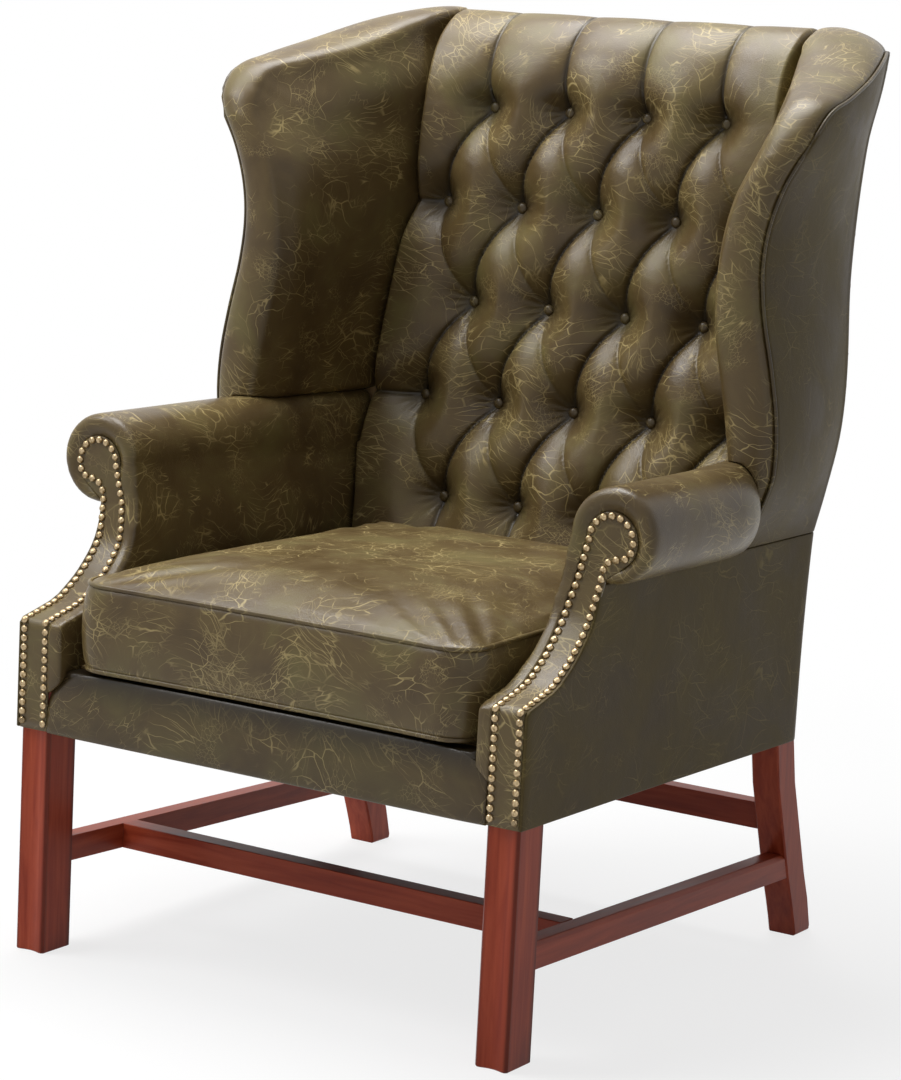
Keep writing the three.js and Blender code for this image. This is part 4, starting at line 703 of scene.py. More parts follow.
def backPanel():
    outer = []
    for r in range(panel["backRows"] + 1):
        level = mix(body["hemRear"], body["backTop"], r / panel["backRows"])
        sideX = wingSide(level, 1)[0] if level > body["seam"] else body["halfWidth"]
        half = sideX - body["corner"] - body["air"]
        high = max(0, (level - panel["fallFrom"]) / (body["backTop"] - panel["fallFrom"]))
        across = [mix(-half, half, c / panel["backCols"]) for c in range(panel["backCols"] + 1)]
        heights = [level - readTable(backCornerTable, abs(x)) * high for x in across]
        outer.append([(x, backY(z), z) for x, z in zip(across, heights)])
    inner = [[(x, y - body["cover"], z) for x, y, z in ring] for ring in outer]
    return shellPiece("outsideBack", outer, inner, plainLeather, panel["backTurn"])


settlePair(sidePanel("outsideArm_left", bodySide, hemAt, lambda way: body["seam"] - body["air"]),
           "outside_leather", "outside_arm_panel")
settlePair(sidePanel("outsideWing_left", wingSide, lambda way: body["seam"] + body["air"], wingTop),
           "outside_leather", "outside_wing_panel")
settle(backPanel(), "frame", "outside_leather", "outside_back_panel")
print("outside panels made")


# Tufted back: pillows between pleats that run from button to button
tufting = {
    "column": 57, "row": 126.5, "base": 509, "seat": 352, "crest": 1140,
    "height": 43, "pleat": 22, "reach": 33, "soft": 60, "depth": 56, "sideRoll": 9, "soften": 0.5, "bow": 1.8,
    "shallow": 4.5,  # mm, added to the distance from the softer pleats, so that they get less painted shade
    "pucker": 0.9, "puckers": 13, "puckerReach": 17,
    "halfTop": 262, "halfSpread": 38, "rear": 10, "cell": 2.4, "crestSteps": 70, "crestReach": 0.9,
    "under": 300, "over": 400, "beside": 150,  # mm, how far the outer pleats run on
    # painted shade along the pleats and in the dimple just above each button, as shares of the dark colour
    # and reaches in mm
    "pleatPaintedShade": 0.8, "pleatReach": 3.2, "dimplePaintedShade": 0.65, "dimpleReach": 19, "dimpleDrop": 6,
    "mostPaintedShade": 0.92,
    "padRun": 0.84, "seatSwell": 1.6, "crestFlat": 0.9, "crestHeight": 0.86,
}
slab = {"inner": 290, "inset": 15, "thick": 19, "top": 568, "low": 340.6, "frontThick": 7, "frontRun": 16,
        "clear": 1.2}
slabTable = [(0, 0), (0.67, 0.3), (1, 1)]
backHalfTable = [(0, 1), (0.14, 0.98), (0.21, 0.9), (0.34, 0.7), (0.46, 0.47), (0.56, 0.21), (0.77, 0.08),
                 (1, 0)]
padDepthTable = [(0, 1), (0.2, 0.84), (0.36, 0.64), (0.52, 0.71), (0.68, 0.83), (0.84, 1), (1, 1)]
crestTable = [(0, 0, 1, 0), (0.04, 0.28, 0.95, 0.02), (0.16, 0.56, 0.8, 0.2), (0.4, 0.76, 0.6, 0.45),
              (0.66, 0.87, 0.4, 0.75), (0.88, 0.9, 0.25, 0.95), (1, 0.9, 0, 1)]  # back, up, swell, slope
buttonPlaces = [
    (column * tufting["column"], tufting["base"] + row * tufting["row"], row)
    for row in range(5)
    for column in ((-3, -1, 1, 3) if row % 2 == 0 else (-4, -2, 0, 2, 4))
]
topRowZ = tufting["base"] + 4 * tufting["row"]


def slabInner(z):
    share = (z - tufting["seat"]) / (slab["top"] - tufting["seat"])
    return slab["inner"] + slab["inset"] * readTable(slabTable, share)


def backHalf(z):
    if z <= slab["top"]:
        return slabInner(z) - slab["clear"]
    share = (z - slab["top"]) / (tufting["crest"] - slab["top"])
    wide = tufting["halfTop"] + tufting["halfSpread"] * readTable(backHalfTable, share)
    return min(wide, slabInner(slab["top"]) - slab["clear"])


def buttonLineY(z):
    share = (z - tufting["seat"]) / (topRowZ - tufting["seat"])
    return backY(z) - tufting["depth"] * readTable(padDepthTable, share * tufting["padRun"])


def pleatSegments():
    segments = []
    for x, z, row in buttonPlaces:
        for step in (-1, 1):
            beside = x + step * tufting["column"]
            above = z + tufting["row"]
            if any(abs(bx - beside) < 1 and abs(bz - above) < 1 for bx, bz, _ in buttonPlaces):
                segments.append((x, z, beside, above) if step > 0 else (beside, above, x, z))
        if row == 0:
            segments.append((x, z, x, z - tufting["under"]))
        if row == 4:
            segments.append((x, z, x, z + tufting["over"]))
        if abs(x) > 3.5 * tufting["column"]:
            segments.append((x, z, x + math.copysign(tufting["beside"], x), z))
    return segments


def backRows():  # y, z, slope, swell and pattern height along the line of the buttons and over the crest
    rows = []
    z = tufting["seat"]
    while z < topRowZ - 0.01:
        swell = min(1, (z - tufting["seat"]) / (tufting["base"] - tufting["seat"]) * tufting["seatSwell"])
        rows.append((buttonLineY(z), z, 0.0, swell, z))
        z += tufting["cell"]
    start = buttonLineY(topRowZ)
    lastZ = mix(topRowZ, tufting["crest"], tufting["crestReach"])
    rear = backY(lastZ) - body["cover"] - 0.6
    for i in range(tufting["crestSteps"] + 1):
        t = i / tufting["crestSteps"] * 6
        back, up, swell, slope = readColumns(crestTable, t)
        rows.append((mix(start, rear, back), mix(topRowZ, tufting["crest"], up), slope * math.pi / 2,
                     max(swell, 0), topRowZ + t * tufting["row"] / 3))
    return rows, lastZ


def tuftedBack():
    pleats = pleatSegments()
    rows, lastZ = backRows()
    half = np.array([backHalf(r[1]) for r in rows])
    cols = int(2 * half.max() / tufting["cell"]) // 2 * 2 + 1
    lineY, lineZ, angle, swellShare, pattern = (np.array([r[k] for r in rows])[:, None] for k in range(5))
    x = np.linspace(-1, 1, cols)[None, :] * half[:, None]
    pattern = np.broadcast_to(pattern, x.shape).copy()
    step = 2 * half.max() / (cols - 1)
    for x0, z0, x1, z1 in pleats:  # columns beside a slanted pleat move onto it
        if abs(z1 - z0) < 1:
            continue
        t = (pattern - z0) / (z1 - z0)
        line = x0 + (x1 - x0) * np.clip(t, 0, 1) ** tufting["bow"]
        near = (np.abs(x - line) < step * 0.5) & (t >= 0) & (t <= 1) & (np.abs(x) < half[:, None] - 3 * step)
        x = np.where(near, line, x)
    swell = np.ones_like(x)
    # distance to the nearest pleat, used only for the painted shade
    nearest = np.full_like(x, 1e9)
    for x0, z0, x1, z1 in pleats:
        dx, dz = x1 - x0, z1 - z0
        if dx * dz == 0:
            t = np.clip(((x - x0) * dx + (pattern - z0) * dz) / (dx * dx + dz * dz), 0, 1)
            gap = np.hypot(x - x0 - t * dx, pattern - z0 - t * dz)
        else:  # slanted pleats hang in a bow
            t = np.clip((pattern - z0) / dz, 0, 1)
            slope = tufting["bow"] * dx / dz * t ** (tufting["bow"] - 1)
            gap = np.hypot((x - x0 - dx * t ** tufting["bow"]) / np.hypot(1, slope), pattern - z0 - t * dz)
        soft = dx * dz < 0  # pleats that lean to the right lie deeper
        nearest = np.minimum(nearest, gap + (tufting["shallow"] if soft else 0))
        share = np.clip(gap / tufting["soft"], 0, 1)
        crease = 1 - tufting["soften"] if soft else 1
        swell *= 1 - crease * (1 - np.sqrt(1 - (1 - share) ** 2))
    button = np.full_like(x, 1e9)
    # distance to a point just above each button, used only for the painted shade
    dimple = np.full_like(x, 1e9)
    ripple = np.zeros_like(x)
    for bx, bz, _ in buttonPlaces:
        gap = np.hypot(x - bx, pattern - bz)
        button = np.minimum(button, gap)
        dimple = np.minimum(dimple, np.hypot(x - bx, pattern - bz - tufting["dimpleDrop"]))
        turn = np.arctan2(pattern - bz, x - bx)
        near = gap / tufting["puckerReach"]
        ripple += tufting["pucker"] * np.cos(tufting["puckers"] * turn) * near * np.exp(1 - near * near)
    lift = 1 - np.exp(-(button / tufting["reach"]) ** 1.7)
    fade = np.clip((half[:, None] - np.abs(x)) / tufting["sideRoll"], 0, 1)
    edge = np.sqrt(1 - (1 - fade) ** 2)
    pleated = tufting["pleat"] * lift + (tufting["height"] - tufting["pleat"]) * swell
    # pleats fade over the crest
    flat = np.clip((pattern - topRowZ) / (2 * tufting["row"]), 0, 1) ** 0.8 * tufting["crestFlat"]
    pleated = pleated * (1 - flat) + tufting["height"] * tufting["crestHeight"] * flat
    height = (pleated + ripple) * swellShare * edge
    y = lineY - np.cos(angle) * height
    z = lineZ + np.sin(angle) * height
    points = list(zip(x.ravel(), y.ravel(), z.ravel()))
    count = len(rows)
    faces = gridFaces(count, cols)
    rear = len(points)  # two points of each row lie at the rear
    for k, row in enumerate(rows):
        zr = min(row[1], lastZ - 0.6 * (count - 1 - k))
        yr = backY(zr) - (body["cover"] if k == count - 1 else tufting["rear"]) - 0.9
        points += [(-half[k], yr, zr), (half[k], yr, zr)]
    for k in range(count - 1):
        a, left, right = rear + 2 * k, k * cols, k * cols + cols - 1
        faces += [(a, left, left + cols, a + 2), (right, a + 1, a + 3, right + cols),
                  (a + 1, a, a + 2, a + 3)]
    faces.append(tuple(range(cols)) + (rear + 1, rear))
    top, end = (count - 1) * cols, rear + 2 * count - 2
    faces.append(tuple(range(top + cols - 1, top - 1, -1)) + (end, end + 1))
    # painted shade: the dark colour along the pleats and in the dimples above the buttons
    dark = np.zeros(len(points), np.float32)
    shade = tufting["pleatPaintedShade"] * np.exp(-(nearest / tufting["pleatReach"]) ** 1.2)
    shade += tufting["dimplePaintedShade"] * np.exp(-(dimple / tufting["dimpleReach"]) ** 2)
    dark[:x.size] = shade.ravel().clip(0, tufting["mostPaintedShade"])
    return paintShade(makePiece("tuftedBack", points, faces, leather), dark)


settle(tuftedBack(), "frame", "inside_leather", "tufted_back_pad", fill=0.8)

coveredButton = {
    # "dark": share of painted shade on the buttons
    "radius": 7.4, "rise": 5.0, "stand": 2.5, "sides": 20, "dark": 0.4,
    "profile": [(0.5, -0.2), (0.92, 0), (1, 0.25), (0.93, 0.55), (0.72, 0.83), (0.4, 0.97), (0.12, 1)],
}


def buttonCap(x, z):
    profile = [(coveredButton["radius"] * wide, coveredButton["rise"] * high)
               for wide, high in coveredButton["profile"]]
    at = Vector((x, buttonLineY(z) - coveredButton["stand"], z))
    return loftPiece("cap", turned(profile, at, Vector((0, -1, 0)), coveredButton["sides"]), leather)


for rowIndex in range(5):
    caps = [buttonCap(x, z) for x, z, row in buttonPlaces if row == rowIndex]
    # painted shade: the buttons take part of the dark colour, as they sit down in the dimples
    buttons = paintShadeAll(weld(f"buttonRow_{rowIndex + 1}", caps, leather), coveredButton["dark"])
    settle(buttons, "frame", "inside_leather", f"button_row_{rowIndex + 1}")
print("tufted back made")


# Arms: padded inside and roll, swelling round the scroll
arm = {
    "radius": 54.5, "x": 361, "z": 582, "rimProud": 6.5, "taper": 350, "end": 432, "tuck": 22,
    "scrollX": 361, "scrollZ": 577, "scroll": 32.5, "postDepth": 38, "overlap": 10,
    "square": 2.5, "widen": 5, "sides": 56, "voxel": 4.0, "smooth": 8,
    "wingRun": 14, "insideWing": 9,  # mm, from where and how far the roll stays inside the outside wing
}
rimTable = [(0.0, 0.04), (0.5, 0.12), (0.82, 0.24), (1.0, 0.42), (0.95, 0.62), (0.7, 0.8), (0.2, 0.94),
            (-0.5, 1.0)]  # how the end of the roll swells out and widens round the scroll
facing = {
    "inner": 309.3, "outer": 350.1, "thick": 3.7, "lean": 8, "edge": 4.6, "crown": 1.0, "across": 12,
    "nailPitch": 11.1, "nailRadius": 4.7, "nailRise": 3.5, "nailHem": 9, "nailSides": 14, "room": 14,
    "notch": [(364, 555.5), (355.5, 551), (352, 541)],  # where the nails turn under the scroll
}


def postFrontY(z):
    return backY(z) - hidden - arm["postDepth"]


# Facings: the swept leather fronts of the arms, from the hem up over the scroll
def facingRows(grow=0.0):
    rows = []
    for z in np.linspace(body["hemFront"] + body["air"], body["knee"], 12):
        rows.append((facing["inner"], facing["outer"], -body["proud"], z))
    for high in np.linspace(0, 1, 40)[1:]:
        z = mix(body["knee"], body["neck"], high)
        lean = facing["lean"] * readTable([(0, 0), (0.65, 0.05), (1, 1)], high)
        rows.append((facing["inner"] + lean, facing["outer"] + lean * 2 / 3, armFrontY(z), z))
    for angle in np.radians(np.linspace(-55, 86, 36)):
        reach = arm["scroll"] * math.cos(angle)
        z = arm["scrollZ"] + arm["scroll"] * math.sin(angle)
        blend = clamp((arm["scrollZ"] - z) / (arm["scrollZ"] - body["neck"]))
        left = arm["scrollX"] - reach
        if z < arm["scrollZ"]:
            left = min(left, mix(arm["scrollX"] - arm["scroll"], facing["inner"] + facing["lean"], blend))
        rows.append((left, arm["scrollX"] + reach, armFace, z))
    return [(x0 - grow, x1 + grow, y, z) for x0, x1, y, z in rows]


def facingNormal(rows, i):
    before, after = rows[max(i - 1, 0)], rows[min(i + 1, len(rows) - 1)]
    length = math.hypot(after[2] - before[2], after[3] - before[3])
    return -(after[3] - before[3]) / length, (after[2] - before[2]) / length


def facingRoom(name):  # space that the facing and its nails take in front of the stump
    rows = facingRows(body["air"])
    rings = []
    for i, (x0, x1, y, z) in enumerate(rows):
        ny, nz = facingNormal(rows, i)
        front, back = facing["room"], -facing["thick"] - body["air"]
        corners = ((x0, front), (x1, front), (x1, back), (x0, back))
        rings.append([(x, y + ny * out, z + nz * out) for x, out in corners])
    return loftPiece(name, rings, leather)


# Apron measures, also needed where the arms meet it
apron = {
    "half": 307.3, "face": 7.7, "top": 350, "drop": 27, "bulge": 2, "rearY": 34, "rollHalf": 287,
    "rollFront": 4, "rollTop": 349.6, "rollSides": 24,
    "shade": 34, "dark": 0.34, "paintedShadeTop": 0.62,  # painted shade of the cushion's overhang: mm below the top over which it deepens, share over the whole apron, and share added at the top
    "foot": 338, "footY": (-5.0, 7.4), "footSteps": 12,
}
apronTable = [(0, 0, 0), (1, 0, 0.15), (1, 0.35, 1), (0.9, 0.62, 0.7), (0.62, 0.86, 0.3), (0.3, 1, 0.1),
              (0, 1, 0)]  # forward, up, bulge
apronDropTable = [(0, 0), (0.5, 0), (0.86, 0.08), (0.94, 0.42), (0.975, 0.72), (1, 1)]


def apronDrop(x):
    return readTable(apronDropTable, abs(x) / apron["half"])


def armSlab(name):
    rings = []
    for z in np.linspace(slab["low"], slab["top"] + 4, 60):
        x0 = slabInner(z)
        y0, y1 = armFrontY(min(z, body["neck"])) - 1, postFrontY(z) - slab["clear"]
        ys = [mix(y0, y1, t * t) for t in np.linspace(0, 1, 60)]
        rings.append([(x0, y, z) for y in ys] + [
            (x0 + slab["thick"] + slab["frontThick"] * max(0, 1 - (y - y0) / slab["frontRun"]), y, z)
            for y in ys[::-1]
        ])
    return loftPiece(name, rings, leather)


def armFoot(name):  # the front of the arm goes on down to the top edge of the apron
    (front, back), top = apron["footY"], apron["top"]
    rings = []
    for x in np.linspace(slab["inner"] + 0.5, facing["inner"] + 4, apron["footSteps"]):
        low = min(top - apron["drop"] * apronDrop(min(x, apron["half"])) - 3, apron["foot"])
        rings.append([(x, front, low), (x, back, low), (x, back, top), (x, front, top)])
    return loftPiece(name, rings, leather)


def armRoll(name, grow=0.0):
    recess = arm["scroll"] + body["air"] + facing["edge"] / 2
    face = armFace + facing["thick"] + body["air"] - grow
    stations = [(face, radius, arm["scrollX"], arm["scrollZ"]) for radius in (recess / 2, recess)]
    for out, wide in rimTable:
        x, z = mix(arm["scrollX"], arm["x"], wide), mix(arm["scrollZ"], arm["z"], wide)
        stations.append((face - arm["rimProud"] * out, mix(recess, arm["radius"], wide), x, z))
    for share in np.linspace(0.1, 1, 9):
        y = mix(face + arm["overlap"], arm["taper"] + 4, share)
        stations.append((y, arm["radius"], arm["x"], arm["z"]))
    rings = [[(x + (radius + grow) * c, y, z + (radius + grow) * s) for c, s in circle(arm["sides"])]
             for y, radius, x, z in stations]
    return loftPiece(name, rings, leather)


def wayAt(y, z):  # place between the front edge of the wing and the back
    front, rear = wingEdgeY(z), backY(z) - body["corner"]
    return clamp((y - front) / (rear - front))


def rollTail(name, grow=0.0):  # the roll runs on to the back, tapering into the wing outside
    rings = []
    for share in np.linspace(0, 1, 40):
        ring = []
        for c, s in circle(arm["sides"]):
            rear = postFrontY(arm["z"] + arm["radius"] * s) - slab["clear"] + grow
            y = mix(arm["taper"] - 6, rear, share)
            t = clamp((y - arm["taper"]) / (arm["end"] - arm["taper"]))
            if c > 0:
                across, up = c * mix(arm["tuck"], arm["radius"], math.sqrt(1 - t * t)), s * arm["radius"]
            else:  # squarer towards the back
                power = 2 / (2 + arm["square"] * share)
                across = -(arm["radius"] + arm["widen"] * share) * abs(c) ** power
                up = math.copysign(abs(s) ** power, s) * arm["radius"]
            x, z = arm["x"] + across + grow * c, arm["z"] + up + grow * s
            if y > wing["frontY"] - arm["wingRun"]:
                x = min(x, wingSide(max(z, body["seam"]), wayAt(y, z))[0] - arm["insideWing"] + grow)
            ring.append((x, y, z))
        rings.append(ring)
    return loftPiece(name, rings, leather)


def armPad():
    parts = [armSlab("slab"), armRoll("roll"), rollTail("tail"), armFoot("foot")]
    piece = remesh(weld("armPad_left", parts, leather), arm["voxel"], arm["smooth"])
    room = facingRoom("facingRoom")
    cut(piece, room, nodes["arm_stump_left"], nodes["arm_rail_left"], nodes["wing_board_left"])
    bpy.data.objects.remove(room)
    return piece


settlePair(armPad(), "inside_leather", "arm_pad", fill=0.85)
print("arm pads made")


def facingPiece():
    rows, across, thick = facingRows(), facing["across"], facing["thick"]
    rings = []
    for i, (x0, x1, y, z) in enumerate(rows):
        ny, nz = facingNormal(rows, i)
        front = [(c / across, facing["crown"] * (1 - (2 * c / across - 1) ** 4) - facing["crown"])
                 for c in range(across + 1)]
        section = front + [(c / across, -thick) for c in range(across, -1, -3)]
        rings.append([(mix(x0, x1, t), y + ny * out, z + nz * out) for t, out in section])
    return loftPiece("armFacing_left", rings, leather)


def nailLine():  # places and normals, up the inner edge, round the scroll and down the outer edge
    edge, centreX, centreZ = facing["edge"], arm["scrollX"], arm["scrollZ"]
    first = body["hemFront"] + facing["nailHem"]
    columns = [(x0, x1, y, max(z, first)) for x0, x1, y, z in facingRows(-edge) if z <= body["neck"] + 0.1]
    up = [((x0, y, z), facingNormal(columns, i)) for i, (x0, x1, y, z) in enumerate(columns)]
    down = [((x1, y, z), facingNormal(columns, i)) for i, (x0, x1, y, z) in enumerate(columns)][::-1]
    radius = arm["scroll"] - edge
    turn = [((centreX + radius * math.cos(a), armFace, centreZ + radius * math.sin(a)), (-1.0, 0.0))
            for a in np.radians(np.linspace(180, -38, 40))]
    notch = [((x, armFace, z), (-1.0, 0.0)) for x, z in facing["notch"]]
    line = [(Vector(at), normal) for at, normal in up + turn + notch + down]
    total = sum((b[0] - a[0]).length for a, b in zip(line, line[1:]))
    pitch = total / round(total / facing["nailPitch"])
    stops, carry = [], 0.0
    for a, b in zip(line, line[1:]):
        length = (b[0] - a[0]).length
        while length > 0 and carry < length:
            t = carry / length
            stops.append((a[0].lerp(b[0], t), (mix(a[1][0], b[1][0], t), mix(a[1][1], b[1][1], t))))
            carry += pitch
        carry -= length
    return stops + [line[-1]]


def nailHeads():
    r, rise, sides = facing["nailRadius"], facing["nailRise"], facing["nailSides"]
    profile = [(r * 0.6, -0.6), (r * 0.97, -0.3), (r, 0.25), (r * 0.93, rise * 0.42), (r * 0.76, rise * 0.72),
               (r * 0.5, rise * 0.91), (r * 0.2, rise)]
    points, faces = [], []
    for at, (ny, nz) in nailLine():
        out = Vector((0, ny, nz)).normalized()
        start = len(points)
        points += [p for ring in turned(profile, at, out, sides) for p in ring]
        faces += [tuple(start + i for i in f) for f in gridFaces(len(profile), sides, wrap=True)]
        faces.append(tuple(range(start, start + sides)))
        top = start + (len(profile) - 1) * sides
        points.append(tuple(at + out * rise * 1.02))
        faces += [(top + k, top + (k + 1) % sides, len(points) - 1) for k in range(sides)]
    return makePiece("nailHeads_left", points, faces, brass)


settlePair(facingPiece(), "inside_leather", "arm_facing", fill=0.9)
settlePair(nailHeads(), "nail_brass", "nail_trim")
print("arm facings and nails made")


# Wings: padded inside, rolled front and top
def wingInner(z, s):
    rise = clamp((z - slab["top"]) / (wing["crown"] - slab["top"]))
    front = wing["innerHalf"] + wing["innerSpread"] * readTable(wingInnerTable, rise)
    s = min(s / mix(1, wing["meet"], rise), 1)
    crown = wing["rearCrown"] * 4 * s * (1 - s)
    buried = clamp((wing["overArm"] - z) / wing["overArmRun"])
    return mix(mix(front, backHalf(z) - 0.5, s) - crown, max(front, wing["lowInner"]), buried * buried)


def wingRim():  # the edge that the leather rolls over: up the front, then back along the top
    rim = [(wingEdgeY(z), z, 0.0) for z in np.linspace(wing["low"], wing["shoulder"], 60)]
    for start, end, steps in ((0, 0.1, 12), (0.1, 1, 56), (1, 2, 7)):
        for way in np.linspace(start, end, steps)[1:]:
            z = wingTop(way)
            rim.append((planPoint(wingSide, z, way, hidden)[1], z, way))
    return rim


def wingRings():
    rim = wingRim()
    lengths = [0.0]
    for a, b in zip(rim, rim[1:]):
        lengths.append(lengths[-1] + math.hypot(b[0] - a[0], b[1] - a[1]))
    bottom = backY(wing["low"]) - hidden - rim[0][0]
    side = rim[-1][1] - wing["low"]
    rings = []
    for i, (y, z, way) in enumerate(rim):
        before, after = rim[max(i - 3, 0)], rim[min(i + 3, len(rim) - 1)]
        length = math.hypot(after[0] - before[0], after[1] - before[1])
        ny, nz = -(after[1] - before[1]) / length, (after[0] - before[0]) / length
        # each ring runs on from the rim to a point of the lower and rear edge
        share = lengths[i] / lengths[-1] * (bottom + side)
        baseZ = wing["low"] + max(share - bottom, 0)
        baseY = rim[0][0] + share if share < bottom else backY(baseZ) - hidden
        outerX = planPoint(wingSide, z, way, hidden)[0]
        fade = 1 - clamp((way - wing["fadeFrom"]) / (1 - wing["fadeFrom"]))
        ease, easeReach = mix(*wing["ease"], nz * nz) * fade, mix(*wing["easeReach"], nz * nz)
        deep = min((y - wingEdgeY(z)) / (backY(z) - hidden - wingEdgeY(z)), 1)
        innerX = min(wingInner(z, deep) + ease, outerX - wing["thin"])
        ring = []
        for s in np.linspace(1, 0, 27)[:-1]:  # outer face, hidden behind the outside leather
            yy, zz = mix(y, baseY, s), mix(z, baseZ, s)
            x = wingSide(zz, wayAt(yy, zz))[0] - hidden - wing["behind"]
            ring.append((mix(x, outerX, (1 - s) ** 12), yy, zz))
        full = min(max(way - wing["liftFrom"], 0) / (1 - wing["liftFrom"]), 1)
        lift = wing["rearLift"] * full * full * (3 - 2 * full)
        rise = wing["rollForward"] * ny * ny + wing["crownRise"] * nz * nz
        for angle in np.linspace(0, math.pi, 21):  # the roll
            share = (1 - math.cos(angle)) / 2
            out = rise * math.sin(angle) ** 0.9
            ring.append((mix(outerX, innerX, share), y + ny * out, z + nz * out + lift * share ** 0.7))
        for s in np.linspace(0, 1, 41)[1:]:  # inside
            t = s ** 1.3
            yy, zz = mix(y, baseY, t), mix(z, baseZ, t)
            inner = wingInner(zz, clamp((yy - wingEdgeY(zz)) / (backY(zz) - hidden - wingEdgeY(zz))))
            far = math.hypot(yy - y, zz - z)
            nose = wing["nose"] * fade * math.exp(-((far - wing["noseAt"]) / wing["noseReach"]) ** 2)
            x = inner + ease * math.exp(-(far / easeReach) ** 2)
            x -= nose * clamp((zz - wing["noseFrom"]) / wing["noseRun"])
            ring.append((x, yy, zz + lift * (1 - t) ** 3))
        rings.append(ring)
    return rings


def wingPad():
    piece = remesh(loftPiece("wingPad_left", wingRings(), leather), wing["voxel"], wing["smooth"])
    clear = slab["clear"]
    room = weld("rollRoom", [armRoll("roll", clear), rollTail("tail", clear)], leather)
    cut(piece, remesh(room, wing["voxel"]), nodes["wing_board_left"])  # cutters are clean skins too
    bpy.data.objects.remove(room)
    return piece


def wingWelt():
    welt = wing["welt"]
    path = []
    for z in np.linspace(body["seam"] + 4, wingTop(0), 70):
        x, y = planPoint(wingSide, z, 0, welt)
        path.append((x, y - 1.0, z))
    for way in np.linspace(0.01, 2, 60)[1:]:
        z = wingTop(way)
        path.append((*planPoint(wingSide, z, way, welt), z + 0.6))
    # painted shade: the welt takes half of the dark colour, as a shaded line along the seam
    return paintShadeAll(tube("wingWelt_left", path, welt, leather), 0.5)


settlePair(wingPad(), "inside_leather", "wing_pad", fill=0.8)
settlePair(wingWelt(), "inside_leather")
print("wings made")


# Apron under the cushion, with its rolled top edge
def apronPiece():
    front, back = [], []
    for x in np.linspace(-apron["half"], apron["half"], 121):
        drop = apronDrop(x)
        ring = []
        for t in np.linspace(0, 6, 37):
            forward, up, bulge = readColumns(apronTable, t)
            y = mix(apron["face"], -body["proud"], forward) - apron["bulge"] * bulge * (1 - drop)
            ring.append((x, y, mix(body["hemFront"], apron["top"] - apron["drop"] * drop, up)))
        front.append(ring)
    section = []
    for turn in circle(apron["rollSides"]):
        deep, high = ((math.copysign(abs(part) ** 0.5, part) + 1) / 2 for part in turn)
        y = mix(apron["rollFront"], apron["rearY"], deep)
        section.append((y, mix(slab["low"], apron["rollTop"], high)))
    for x in np.linspace(-apron["rollHalf"], apron["rollHalf"], 61):
        back.append([(x, y, z) for y, z in section])
    parts = [loftPiece("apronFront", front, leather), loftPiece("apronBack", back, leather)]
    piece = weld("frontApron", parts, leather)
    # painted shade: the whole apron is darkened, and more towards its top under the cushion
    low = apron["top"] - apron["shade"]
    return paintShade(piece, [apron["dark"] + apron["paintedShadeTop"] * clamp((v.co.z * 1000 - low) / apron["shade"])
                          for v in piece.data.vertices])


settle(apronPiece(), "frame", "inside_leather", "front_apron", fill=0.7)
print("apron made")


# Loose seat cushion: swelled by cloth simulation, then piped
cushion = {
    "halfFront": 278, "halfRear": 266, "depth": 594, "frontY": -4, "border": 106, "crown": 33, "bulge": 6,
    "corner": 42, "pull": 5, "piping": 3.0, "low": 352.3, "shrink": 3.0, "voxel": 5.0, "pressure": 4.0,
    "cap": 8.0,  # mm, most that the pressure moves a point
    "seamUp": 6, "seamDown": 3, "seamReach": (6, 12),  # mm, where the seams lie and what is held beside them
    "frames": 20,
}
cushionTop = cushion["low"] + cushion["border"]


def cushionOutline(inset, perSide=30, arc=8):
    radius = max(cushion["corner"] - inset, cushion["corner"] / 4)
    corners = []
    for side, end, start in ((1, 0, -0.5), (1, 1, 0), (-1, 1, 0.5), (-1, 0, 1)):
        half = mix(cushion["halfFront"], cushion["halfRear"], end) - inset - radius
        deep = mix(inset + radius, cushion["depth"] - inset - radius, end)
        corners.append((side * half, cushion["frontY"] + deep, start * math.pi))
    points = []
    for (x, y, start), (nextX, nextY, _) in zip(corners, corners[1:] + corners[:1]):
        for k in range(arc + 1):
            angle = start + k / arc * math.pi / 2
            points.append((x + radius * math.cos(angle), y + radius * math.sin(angle)))
        for k in range(1, perSide):
            t = k / perSide
            out = radius - cushion["pull"] * 4 * t * (1 - t)
            alongX, alongY = mix(x, nextX, t), mix(y, nextY, t)
            points.append((alongX + out * math.cos(angle), alongY + out * math.sin(angle)))
    return points


def cushionBase():
    low, high = cushion["low"] + 1.0, cushionTop

    def ring(deep, z):
        return [(x, y, z) for x, y in cushionOutline(deep + cushion["shrink"])]

    rings = [ring(cushion["halfRear"] * 0.6, low), ring(40, low), ring(9, low + 0.5), ring(1, low + 5)]
    for t in np.linspace(0.06, 0.94, 12):
        rings.append(ring(-cushion["bulge"] * (1 - (2 * t - 1) ** 2) ** 0.8, mix(low + 5, high - 2, t)))
    rings += [ring(1, high - 2), ring(5, high + 2.5)]
    middle, reach = cushion["frontY"] + cushion["depth"] / 2, cushion["depth"] / 2
    for inward in (0.045, 0.08, 0.12, 0.18, 0.26, 0.38, 0.52, 0.68, 0.84):
        domed = []
        for x, y, _ in ring(cushion["halfRear"] * inward, high):
            across, along = min(abs(x) / cushion["halfFront"], 1), min(abs(y - middle) / reach, 1)
            dome = ((1 - across ** 3.2) * (1 - along ** (3 if y < middle else 8))) ** 0.42
            domed.append((x, y, high + max(2.5, (cushion["crown"] - 3) * dome)))
        rings.append(domed)
    return loftPiece("seatCushion", rings, leather)


